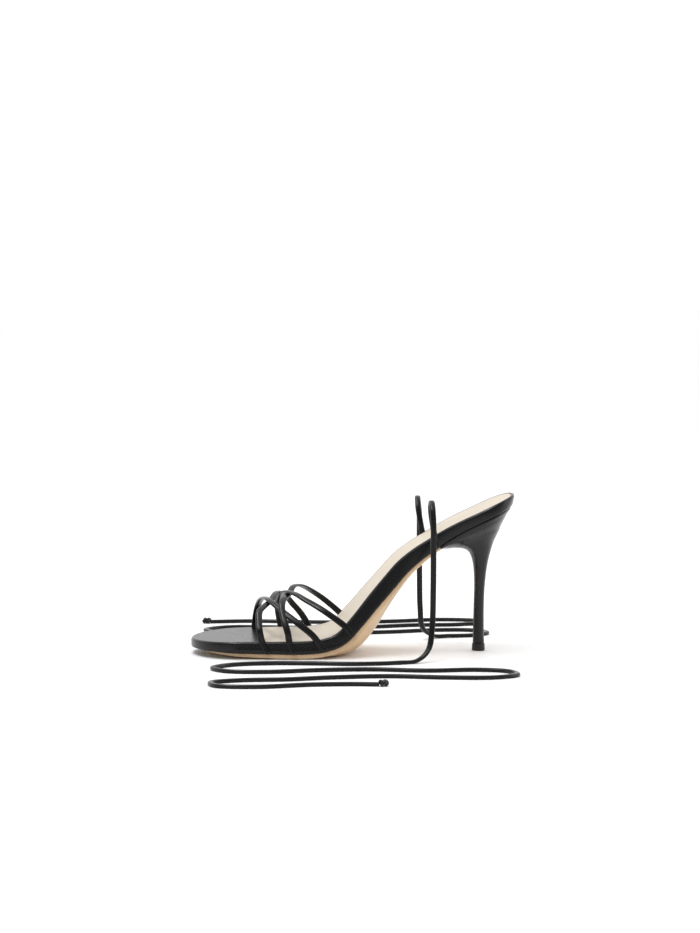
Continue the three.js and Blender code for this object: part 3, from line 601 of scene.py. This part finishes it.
def build_outsole():
    """Leather outsole: thin square edge, domed waist, flat tread where it meets the floor."""
    shape = Outline(0, BREAST_RUN + GAP - SEAM)
    edge = edge_at(shape.run)
    belly = belly_at(shape.run)
    top = rim_at(shape.run) + SEAM
    inset = SOLE_INSET + tuck_at(shape.run)
    rings = shape.filled(inset + SOLE_BEVEL, lambda share: top, np.linspace(1, 0, 4))
    for turn in arc(90, 0, 4):
        bevel_inset = inset + SOLE_BEVEL * (1 - math.cos(turn))
        rings.append(shape.ring(bevel_inset, top + SOLE_BEVEL * (1 - math.sin(turn))))
    flat = edge * SOLE_FLAT_SHARE
    rings.append(shape.ring(inset, top + (SOLE_BEVEL + flat) / 2))
    for turn in arc(0, 80, 6):
        drop = flat + (edge - flat) * math.sin(turn)
        rings.append(shape.ring(inset + SOLE_ROUND * (1 - math.cos(turn)), top + drop))

    def domed(share):
        return top + edge + belly * (1 - (1 - share) ** BELLY_POWER)

    rings += shape.filled(inset + SOLE_ROUND, domed, np.linspace(0, 1, 20))
    for ring in rings:
        ring[:, 2] = np.maximum(ring[:, 2], 0)
    return ring_mesh("outsole_leather", rings, cap=False)


# Heel pieces
HEEL_AXIS_X = SHOE_LENGTH * (HEEL_AXIS_AT - 0.5)
HEEL_BREAST_RUN = BREAST_RUN + GAP
HEEL_BACK_RUN = FOOTBED_RUN - HEEL_INSET


def seat_under(run, y):
    return sole_point(run, y, rim_at(np.asarray(run, float)) + SEAM)


UNDER_RUNS = np.linspace(HEEL_BREAST_RUN - 4, FOOTBED_RUN, 400)
UNDER_LINE = seat_under(UNDER_RUNS, 0)
SEAT_FRONT_X = seat_under(HEEL_BREAST_RUN, 0)[0]
SEAT_LENGTH = seat_under(HEEL_BACK_RUN, 0)[0] - SEAT_FRONT_X
SEAT_HALF_WIDTH = float(half_width(HEEL_BREAST_RUN + SEAT_LENGTH * SEAT_MIDDLE, 1)) - HEEL_INSET
FRONT_TURNS = np.linspace(0, math.pi / 2, 14, endpoint=False)
SIDE_TURNS = np.linspace(0, math.pi / 2, 29)


def seat_height_at(x):
    return np.interp(x, UNDER_LINE[:, 0], UNDER_LINE[:, 2])


def both_sides(half_loop):
    """One ring of the heel: front point, outer side, rear point, inner side."""
    outer = half_loop(-1)
    inner = half_loop(1)
    return np.vstack([outer, inner[1:-1][::-1]])


def lower_heel_ring(row):
    row = dict(zip(HEEL_COLUMNS, row))
    x = {place: HEEL_AXIS_X + row[place] * SEAT_LENGTH for place in ("rear", "mid", "front")}
    z = {place: seat_height_at(x[place]) * row[place + "_z"] for place in x}
    wide = max(SEAT_HALF_WIDTH * row["wide"], STEM_WIDTH / 2)

    def half_loop(side):
        fore = np.cos(FRONT_TURNS)
        front = np.stack([
            x["mid"] - (x["mid"] - x["front"]) * fore,
            side * wide * np.sin(FRONT_TURNS),
            z["mid"] - (z["mid"] - z["front"]) * fore,
        ], axis=1)
        back = np.sin(SIDE_TURNS)
        seat_run = HEEL_BREAST_RUN + (FOOTBED_RUN - HEEL_BREAST_RUN) * back
        seat_wide = half_width(seat_run, side) / half_width(HEEL_BREAST_RUN, side)
        y = wide * (np.cos(SIDE_TURNS) * (1 - row["seat"]) + seat_wide * row["seat"])
        rear = np.stack([
            x["mid"] + (x["rear"] - x["mid"]) * back,
            side * y,
            z["mid"] + (z["rear"] - z["mid"]) * back,
        ], axis=1)
        return np.vstack([front, rear])

    return both_sides(half_loop)


def stem_foot(z, grow):
    deep = STEM_DEPTH / 2 + grow
    wide = STEM_WIDTH / 2 + grow
    turns = np.concatenate([FRONT_TURNS, SIDE_TURNS + math.pi / 2])

    def half_loop(side):
        x = HEEL_AXIS_X - deep * np.cos(turns)
        return np.stack([x, side * wide * np.sin(turns), np.full(len(turns), float(z))], axis=1)

    return both_sides(half_loop)


def heel_seat_ring(lip, drop, inset=0.0):
    """The cup's rim under the seat, a lip deep at its sides and deeper at the breast's middle."""
    def half_loop(side):
        front_wide = half_width(HEEL_BREAST_RUN, side) - HEEL_INSET - inset
        front_depth = rim_at(HEEL_BREAST_RUN) + SEAM + lip + drop * np.cos(FRONT_TURNS)
        front = sole_point(HEEL_BREAST_RUN + inset, side * front_wide * np.sin(FRONT_TURNS), front_depth)
        back = np.sin(SIDE_TURNS)
        run = HEEL_BREAST_RUN + inset + (HEEL_BACK_RUN - inset * 2 - HEEL_BREAST_RUN) * back
        edge_run = HEEL_BREAST_RUN + (FOOTBED_RUN - HEEL_BREAST_RUN) * back
        wide = np.maximum(half_width(edge_run, side) - HEEL_INSET - inset, 0)
        wide[-1] = 0
        rear = sole_point(run, side * wide, rim_at(run) + SEAM + lip)
        return np.vstack([front, rear])

    return both_sides(half_loop)


def smooth_rings(rings, between):
    """Rings of a smooth surface through the given ones."""
    rings = np.array(rings)
    padded = np.concatenate([[2 * rings[0] - rings[1]], rings, [2 * rings[-1] - rings[-2]]])
    filled = []
    for p0, p1, p2, p3 in zip(padded, padded[1:], padded[2:], padded[3:]):
        d0, d1, d2 = (
            np.sqrt(np.linalg.norm(b - a, axis=1) + 1e-9)[:, None]
            for a, b in ((p0, p1), (p1, p2), (p2, p3))
        )
        m1 = d1 * ((p1 - p0) / d0 - (p2 - p0) / (d0 + d1) + (p2 - p1) / d1)
        m2 = d1 * ((p2 - p1) / d1 - (p3 - p1) / (d1 + d2) + (p3 - p2) / d2)
        for t in np.linspace(0, 1, between, endpoint=False):
            cubic = (2 * p1 - 2 * p2 + m1 + m2) * t ** 3
            square = (-3 * p1 + 3 * p2 - 2 * m1 - m2) * t ** 2
            filled.append(p1 + m1 * t + square + cubic)
    return filled + [rings[-1]]


def relaxed(rings, first, passes):
    """The rings after the first few, each point eased towards the middle of its neighbours."""
    grid = np.array(rings)
    for _ in range(passes):
        beside = np.roll(grid, 1, axis=1) + np.roll(grid, -1, axis=1)
        middle = (grid[:-2] + grid[2:] + beside[1:-1]) / 4
        grid[first:-1] += 0.5 * (middle - grid[1:-1])[first - 1:]
    return list(grid)


def build_heel():
    """Covered stiletto: oval stem, curved breast and a cup under the seat."""
    stem = [stem_foot(LIFT_HEIGHT + SEAM, 0), *(lower_heel_ring(row) for row in HEEL_RINGS)]
    stem.append(heel_seat_ring(CUP_LIP, CUP_DROP))
    rings = smooth_rings(stem, HEEL_RINGS_BETWEEN)
    rings = relaxed(rings, len(rings) - HEEL_EASED_RINGS, HEEL_EASING_PASSES)
    for lip, inset in ((0.3, 0), (0.08, 0.08), (0, 0.3)):
        rings.append(heel_seat_ring(lip, lip, inset))
    return ring_mesh("heel_cover", rings, crease=math.pi)


def build_top_lift():
    """Wear piece under the stem, with a worn-in bevel and a fine groove above it."""
    heights_and_growths = [
        (0, -0.1), (0.12, 0.25), (0.45, 0.5), (1.5, 0.5), (3.2, 0.42),
        (4.35, 0.36), (4.6, 0.28), (4.7, 0.0), (4.95, 0.0), (5.1, -0.1),
    ]
    return ring_mesh("heel_top_lift", [stem_foot(z, grow) for z, grow in heights_and_growths])


# Straps and ties

def wall_point(at, share, side, out):
    return sole_point(at, side * (half_width(at, side) + out), rim_at(at) * share)


def wall_points(along, side, slant):
    """A strap end on the rim: from its foot up the wall, slanting as it rises."""
    run = np.interp(along, LINE_SHARES, LINE_RUN)
    out = STRAP_THICKNESS / 2 - STRAP_SINK
    places = []
    for share in STRAP_WALL_SHARES:
        at = run + slant * rim_at(run) * (share - STRAP_WALL_SHARES[-1])
        places.append(wall_point(at, share, side, out))
    return places


def tucked_end(along, side, slant):
    """The strap's end, drawn in under the rim between footbed and outsole."""
    run = np.interp(along, LINE_SHARES, LINE_RUN)
    at = run + slant * rim_at(run) * STRAP_TUCK_SLANT
    return [wall_point(at, STRAP_TUCK_SHARE, side, -STRAP_TUCK_IN)]


def trimmed_to_rim(points):
    """Points of a strap, cut flush with the seam under the rim."""
    line = np.stack([LINE_X, LINE_Z], axis=1)
    flat = points[:, [0, 2]]
    nearest = np.linalg.norm(flat[:, None] - line[None], axis=2).argmin(axis=1)
    slope = LINE_SLOPE[nearest]
    down = np.stack([np.sin(slope), -np.cos(slope)], axis=1)
    depth = np.sum((flat - line[nearest]) * down, axis=1)
    over = np.maximum(depth - rim_at(LINE_RUN[nearest]), 0)
    trimmed = points.copy()
    trimmed[:, [0, 2]] -= down * over[:, None]
    return trimmed


def band_rings(places, across, half_wide, half_thick, sides=28):
    """Rings of an oval band along places; half_wide and half_thick are numbers or one per place."""
    tangent = np.gradient(places, axis=0)
    tangent /= np.linalg.norm(tangent, axis=1)[:, None]
    across = across - tangent * np.sum(across * tangent, axis=1)[:, None]
    across /= np.linalg.norm(across, axis=1)[:, None]
    up = np.cross(across, tangent)
    turns = np.linspace(0, 2 * math.pi, sides, endpoint=False)
    form_x = np.sign(np.cos(turns)) * np.abs(np.cos(turns)) ** (2 / BAND_POWER)
    form_y = np.sign(np.sin(turns)) * np.abs(np.sin(turns)) ** (2 / BAND_POWER)
    wide = np.broadcast_to(half_wide, len(places))
    thick = np.broadcast_to(half_thick, len(places))
    rings = []
    for place, a, u, w, t in zip(places, across, up, wide, thick):
        rings.append(place + np.outer(form_x * w, a) + np.outer(form_y * t, u))
    return rings


def build_strap(name, strap):
    """One woven strap, from under the rim, over the foot and under the rim again."""
    over_foot = [
        (SHOE_LENGTH * (along - 0.5), across * BALL_WIDTH / 2, BALL_HEIGHT + STRAP_RISE * up)
        for along, across, up in strap["path"]
    ]
    outer = tucked_end(strap["outer_at"], -1, strap["outer_slant"])
    outer += wall_points(strap["outer_at"], -1, strap["outer_slant"])
    inner = tucked_end(strap["inner_at"], 1, strap["inner_slant"])
    inner += wall_points(strap["inner_at"], 1, strap["inner_slant"])
    places = spline([*outer, *over_foot, *inner[::-1]], STRAP_SPACING)
    tangent = np.gradient(places, axis=0)
    share = places[:, 1] / (BALL_WIDTH / 2)
    rise = np.maximum(places[:, 2] - BALL_HEIGHT, 0) / (STRAP_RISE * strap["crest"])
    sideways = np.sign(share) * np.abs(share) ** 1.5
    outward = np.stack([np.zeros_like(share), sideways, rise + 0.02], axis=1)
    across = np.cross(tangent, outward)
    rings = band_rings(places, across, STRAP_WIDTH / 2, STRAP_THICKNESS / 2)
    return ring_mesh(name, [trimmed_to_rim(ring) for ring in rings])


def anchor_points(side):
    wall = wall_points(TIE_AT[side], side, TIE_SLANT)
    lean = np.array([-TIE_LEAN_BACK, side * TIE_LEAN_OUT, 1.0])
    lean /= np.linalg.norm(lean)
    return [*wall, wall[-1] + lean * TIE_STAND / 2, wall[-1] + lean * TIE_STAND]


def tie_points(side):
    """The tie's route from the anchor's end, lowered so that the flat tie lies on the floor."""
    drop = (TIE_DIAMETER - TIE_THICKNESS) / 2
    points = [np.array(point) for point in TIE_ROUTES[side]]
    return [p - np.array([0, 0, drop * (1 - smoothstep(p[2], *TIE_SINKS_OVER))]) for p in points]


def tie_across(places, side):
    """The flat tie's width: along the shoe where it hangs, level where it lies."""
    tangent = np.gradient(places, axis=0)
    hanging = np.tile([-float(side), 0, 0], (len(places), 1))
    lying = np.cross([0, 0, 1.0], tangent)
    lying /= np.linalg.norm(lying, axis=1)[:, None] + 1e-9
    on_floor = 1 - smoothstep(places[:, 2], *TIE_TURNS_FLAT_OVER)[:, None]
    return hanging * (1 - on_floor) + lying * on_floor


def build_anchor_and_tie(anchor_name, tie_name, side):
    """One flat rolled strap: up the rim as the anchor, then over it, down and along the floor."""
    anchor = anchor_points(side)
    points = [*tucked_end(TIE_AT[side], side, TIE_SLANT), *anchor, *tie_points(side)]
    places = spline(points, TIE_SPACING)
    split = int(np.linalg.norm(places - anchor[-1], axis=1).argmin())
    taper = smoothstep(np.arange(len(places)) / split, 0.4, 1)
    wide = STRAP_WIDTH / 2 + (TIE_WIDTH - STRAP_WIDTH) / 2 * taper
    thick = STRAP_THICKNESS / 2 + (TIE_THICKNESS - STRAP_THICKNESS) / 2 * taper
    rings = band_rings(places, tie_across(places, side), wide, thick)
    anchor_rings = [trimmed_to_rim(ring) for ring in rings[:split]] + [rings[split]]
    return ring_mesh(anchor_name, anchor_rings), ring_mesh(tie_name, rings[split:]), places[split:]


def build_knot(name, places):
    """An overhand knot drawn tight at the tie's end."""
    end = places[-1]
    direction = end - places[-KNOT_LOOK_BACK]
    direction[2] = 0
    direction /= np.linalg.norm(direction)
    side = np.array([-direction[1], direction[0], 0])
    t = np.linspace(0, 2 * math.pi, 90, endpoint=False)
    local_x = (np.sin(t) + 2 * np.sin(2 * t)) * KNOT_SIZE
    local_y = (np.cos(t) - 2 * np.cos(2 * t)) * KNOT_SIZE
    local_z = -np.sin(3 * t) * KNOT_RISE
    centre = end + direction * KNOT_AHEAD
    centre[2] = KNOT_HEIGHT
    loop = centre + np.outer(local_x, direction) + np.outer(local_y, side)
    loop[:, 2] += local_z
    return closed_tube(name, loop, KNOT_STRAND_RADIUS)


def closed_tube(name, loop, radius, sides=14):
    tangent = np.roll(loop, -1, axis=0) - np.roll(loop, 1, axis=0)
    tangent /= np.linalg.norm(tangent, axis=1)[:, None]
    reference = np.cross(tangent, [0, 0, 1.0])
    reference /= np.linalg.norm(reference, axis=1)[:, None]
    up = np.cross(reference, tangent)
    turns = np.linspace(0, 2 * math.pi, sides, endpoint=False)
    rings = [
        place + radius * (np.outer(np.cos(turns), a) + np.outer(np.sin(turns), u))
        for place, a, u in zip(loop, reference, up)
    ]
    return ring_mesh(name, rings + [rings[0]], cap=False)


# Materials
FOOTBED_BLACK = np.array([0.0035, 0.0037, 0.0045])
STRAP_BLACK = np.array([0.0035, 0.0037, 0.0042])


class Nodes:
    """A material's node tree, with short ways to add nodes and links."""

    def __init__(self, name):
        self.material = bpy.data.materials.new(name)
        self.material.use_nodes = True
        self.tree = self.material.node_tree
        self.shader = self.tree.nodes["Principled BSDF"]
        self.place = self.add("ShaderNodeTexCoord").outputs["Object"]

    def add(self, kind, inputs=None, **settings):
        node = self.tree.nodes.new(kind)
        for key, value in settings.items():
            setattr(node, key, value)
        for key, value in (inputs or {}).items():
            self.put(value, node.inputs[key])
        return node

    def put(self, value, socket):
        if isinstance(value, bpy.types.NodeSocket):
            self.tree.links.new(value, socket)
        else:
            socket.default_value = value

    def shade(self, **inputs):
        for key, value in inputs.items():
            self.put(value, self.shader.inputs[key.replace("_", " ")])

    def noise(self, scale, detail=3.0, roughness=0.5, place=None):
        inputs = {
            "Vector": place or self.place, "Scale": scale, "Detail": detail, "Roughness": roughness,
        }
        return self.add("ShaderNodeTexNoise", inputs).outputs["Fac"]

    def soft_cells(self, scale, place):
        inputs = {"Vector": place, "Scale": scale}
        return self.add("ShaderNodeTexVoronoi", inputs, feature="SMOOTH_F1").outputs["Distance"]

    def between(self, value, from_low, from_high, to_low, to_high):
        inputs = {
            "Value": value,
            "From Min": from_low,
            "From Max": from_high,
            "To Min": to_low,
            "To Max": to_high,
        }
        return self.add("ShaderNodeMapRange", inputs).outputs["Result"]

    def mixed(self, share, low, high):
        node = self.add("ShaderNodeMix", data_type="RGBA")
        self.put(share, node.inputs[0])
        self.put(low, node.inputs[6])
        self.put(high, node.inputs[7])
        return node.outputs[2]

    def math(self, operation, a, b):
        node = self.add("ShaderNodeMath", operation=operation)
        self.put(a, node.inputs[0])
        self.put(b, node.inputs[1])
        return node.outputs[0]

    def patchy(self, scale, detail, low, high):
        """A colour that drifts between two in soft patches."""
        patches = self.noise(scale, detail, 0.6)
        return self.mixed(self.between(patches, 0.35, 0.65, 0, 1), low, high)

    def bump(self, height, strength, distance):
        inputs = {"Strength": strength, "Distance": distance, "Height": height}
        return self.add("ShaderNodeBump", inputs).outputs["Normal"]


def rgba(red, green, blue):
    return (red, green, blue, 1.0)


def leather_grain(nodes, pebble, strength, depth):
    """Fine leather grain: small rounded pebbles between thin creases."""
    warped = nodes.add("ShaderNodeVectorMath", operation="MULTIPLY_ADD")
    wobble = nodes.add("ShaderNodeTexNoise", {"Vector": nodes.place, "Scale": pebble * 0.35})
    nodes.put(wobble.outputs["Color"], warped.inputs[0])
    warped.inputs[1].default_value = (0.5 / pebble, 0.5 / pebble, 0.5 / pebble)
    nodes.put(nodes.place, warped.inputs[2])
    pebbles = nodes.soft_cells(pebble, warped.outputs[0])
    pores = nodes.math("MULTIPLY", nodes.noise(pebble * 3.1, 2.0), 0.25)
    return nodes.bump(nodes.math("SUBTRACT", pores, pebbles), strength, depth)


def black_leather(name, base, rough, pebble, strength, specular):
    nodes = Nodes(name)
    colour = nodes.patchy(90, 4.0, rgba(*(base * 0.85)), rgba(*(base * 1.2)))
    fine = nodes.noise(900, 2.0)
    roughness = nodes.between(fine, 0.3, 0.7, rough - 0.05, rough + 0.07)
    nodes.shade(
        Base_Color=colour,
        Roughness=roughness,
        Specular_IOR_Level=specular,
        Normal=leather_grain(nodes, pebble, strength, 0.00003),
    )
    return nodes.material


def lining_material():
    nodes = Nodes("beige_lining_leather")
    base = nodes.patchy(55, 4.0, rgba(0.59, 0.52, 0.42), rgba(0.65, 0.57, 0.465))
    fibres = nodes.noise(1400, 2.0)
    colour = nodes.mixed(nodes.between(fibres, 0.35, 0.7, 0, 0.35), base, rgba(0.58, 0.49, 0.38))
    nodes.shade(
        Base_Color=colour,
        Roughness=nodes.between(fibres, 0.3, 0.7, 0.55, 0.7),
        Sheen_Weight=0.15,
        Normal=leather_grain(nodes, 1500, 0.35, 0.00005),
    )
    return nodes.material


def outsole_material():
    nodes = Nodes("tan_sole_leather")
    base = nodes.patchy(40, 5.0, rgba(0.66, 0.45, 0.26), rgba(0.75, 0.54, 0.33))
    stretched = nodes.add("ShaderNodeMapping", {"Vector": nodes.place, "Scale": (0.12, 1.0, 1.0)})
    grain = nodes.noise(1500, 3.0, 0.6, stretched.outputs[0])
    colour = nodes.mixed(nodes.between(grain, 0.35, 0.7, 0, 0.3), base, rgba(0.55, 0.35, 0.19))
    nodes.shade(
        Base_Color=colour,
        Roughness=nodes.between(grain, 0.3, 0.7, 0.38, 0.5),
        Coat_Weight=0.2,
        Coat_Roughness=0.25,
        Normal=nodes.bump(grain, 0.12, 0.00005),
    )
    return nodes.material


def heel_material():
    nodes = Nodes("black_heel_cover")
    colour = nodes.patchy(70, 4.0, rgba(0.0035, 0.0038, 0.0045), rgba(0.005, 0.0053, 0.006))
    nodes.shade(
        Base_Color=colour,
        Roughness=nodes.between(nodes.noise(600), 0.3, 0.7, 0.24, 0.29),
        Specular_IOR_Level=0.38,
        Normal=nodes.bump(nodes.noise(2600, 2.0), 0.05, 0.00002),
    )
    return nodes.material


def lift_material():
    nodes = Nodes("black_top_lift_rubber")
    speckle = nodes.noise(2500, 2.0)
    nodes.shade(
        Base_Color=nodes.mixed(speckle, rgba(0.005, 0.005, 0.006), rgba(0.013, 0.013, 0.014)),
        Roughness=nodes.between(speckle, 0.3, 0.7, 0.5, 0.65),
        Normal=nodes.bump(speckle, 0.25, 0.00004),
    )
    return nodes.material


def floor_material():
    nodes = Nodes("studio_floor")
    nodes.shade(Base_Color=rgba(0.97, 0.97, 0.97), Roughness=0.6, Specular_IOR_Level=0.2)
    return nodes.material


# Studio

def add_camera():
    azimuth = math.radians(-3)
    elevation = math.radians(4.3)
    distance = 1.85
    target = Vector((-1.9, 0, 122.8)) * MM
    back = Vector((
        math.sin(azimuth) * math.cos(elevation),
        -math.cos(azimuth) * math.cos(elevation),
        math.sin(elevation),
    ))
    data = bpy.data.cameras.new("camera")
    data.sensor_fit = "VERTICAL"
    data.sensor_height = 36
    data.lens = 108.15
    data.clip_start = 0.05
    camera = bpy.data.objects.new("camera", data)
    camera.location = target + back * distance
    camera.rotation_euler = back.to_track_quat("Z", "Y").to_euler()
    bpy.context.scene.collection.objects.link(camera)
    bpy.context.scene.camera = camera


def add_floor():
    mesh = bpy.data.meshes.new("studio_floor")
    reach = 12
    corners = [(-reach, -reach, 0), (reach, -reach, 0), (reach, reach, 0), (-reach, reach, 0)]
    mesh.from_pydata(corners, [], [(0, 1, 2, 3)])
    mesh.materials.append(floor_material())
    floor = bpy.data.objects.new("studio_floor", mesh)
    bpy.context.scene.collection.objects.link(floor)


def add_area(name, place, aim, size, power):
    data = bpy.data.lights.new(name, "AREA")
    data.shape = "RECTANGLE"
    data.size, data.size_y = size
    data.energy = power
    light = bpy.data.objects.new(name, data)
    light.location = place
    light.rotation_euler = (Vector(place) - Vector(aim)).to_track_quat("Z", "Y").to_euler()
    bpy.context.scene.collection.objects.link(light)


def add_world():
    """A white studio: bright behind and above the shoe, dimmer on the side it is seen from."""
    world = bpy.data.worlds.new("studio")
    world.use_nodes = True
    tree = world.node_tree
    direction = tree.nodes.new("ShaderNodeTexCoord").outputs["Generated"]
    parts = tree.nodes.new("ShaderNodeSeparateXYZ")
    tree.links.new(direction, parts.inputs[0])
    depth = tree.nodes.new("ShaderNodeMapRange")
    depth.interpolation_type = "SMOOTHSTEP"
    tree.links.new(parts.outputs["Y"], depth.inputs["Value"])
    for name, value in (("From Min", -0.7), ("From Max", 0.4), ("To Min", 0.4), ("To Max", 1.12)):
        depth.inputs[name].default_value = value
    background = tree.nodes["Background"]
    background.inputs["Color"].default_value = (1, 1, 1, 1)
    tree.links.new(depth.outputs["Result"], background.inputs["Strength"])
    bpy.context.scene.world = world


def add_sun():
    data = bpy.data.lights.new("high_key", "SUN")
    data.energy = 0.65
    data.angle = math.radians(40)
    sun = bpy.data.objects.new("high_key", data)
    sun.rotation_euler = Vector((-0.25, -0.35, 1.0)).to_track_quat("Z", "Y").to_euler()
    bpy.context.scene.collection.objects.link(sun)


def add_studio():
    add_world()
    bpy.context.scene.view_settings.view_transform = "Standard"
    aim = (0, 0, 0.06)
    add_sun()
    add_area("overhead_strip", (-0.3, 0.0, 1.2), aim, (1.2, 0.1), 5.5)
    add_area("heel_side_softbox", (1.3, -0.1, 0.5), aim, (0.3, 0.9), 2.4)
    add_floor()


# Assembly

def dress(piece, material, slot, *nodes):
    piece.data.materials.append(material)
    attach(piece, "root")
    if nodes:
        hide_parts(*nodes)
    return piece


def add_ties(strap_leather):
    """The two anchors, each with its free tie and the knot on it."""
    for side, place in ((-1, "lateral"), (1, "medial")):
        anchor, tie, places = build_anchor_and_tie(
            f"tie_anchor_{place}_strap", f"tie_{place}_cord", side,
        )
        dress(tie, strap_leather, "strap_leather", f"tie_{place}")
        knot = build_knot(f"tie_knot_{place}_cord", places)
        dress(knot, strap_leather, "strap_leather", f"tie_knot_{place}")
        dress(anchor, strap_leather, "strap_leather", f"tie_anchor_{place}")


def add_shoe(strap_leather):
    """Every other piece; the first woven strap stands for the whole upper's solid."""
    wrapped = black_leather("black_footbed_leather", FOOTBED_BLACK, 0.25, 1500, 0.2, 0.3)
    dress(build_footbed(), wrapped, "black_leather", "footbed")
    dress(build_lining(), lining_material(), "lining_leather", "sock_lining")
    dress(build_outsole(), outsole_material(), "outsole_leather", "outsole")
    dress(build_heel(), heel_material(), "heel_cover", "heel")
    dress(build_top_lift(), lift_material(), "top_lift_rubber", "top_lift")
    for number, (name, strap) in enumerate(STRAPS.items()):
        hidden = ("upper",) if number == 0 else ()
        dress(build_strap(name, strap), strap_leather, "strap_leather", *hidden)


add_camera()
strap_leather = black_leather("black_strap_leather", STRAP_BLACK, 0.24, 1900, 0.15, 0.3)
add_ties(strap_leather)
add_shoe(strap_leather)
add_studio()
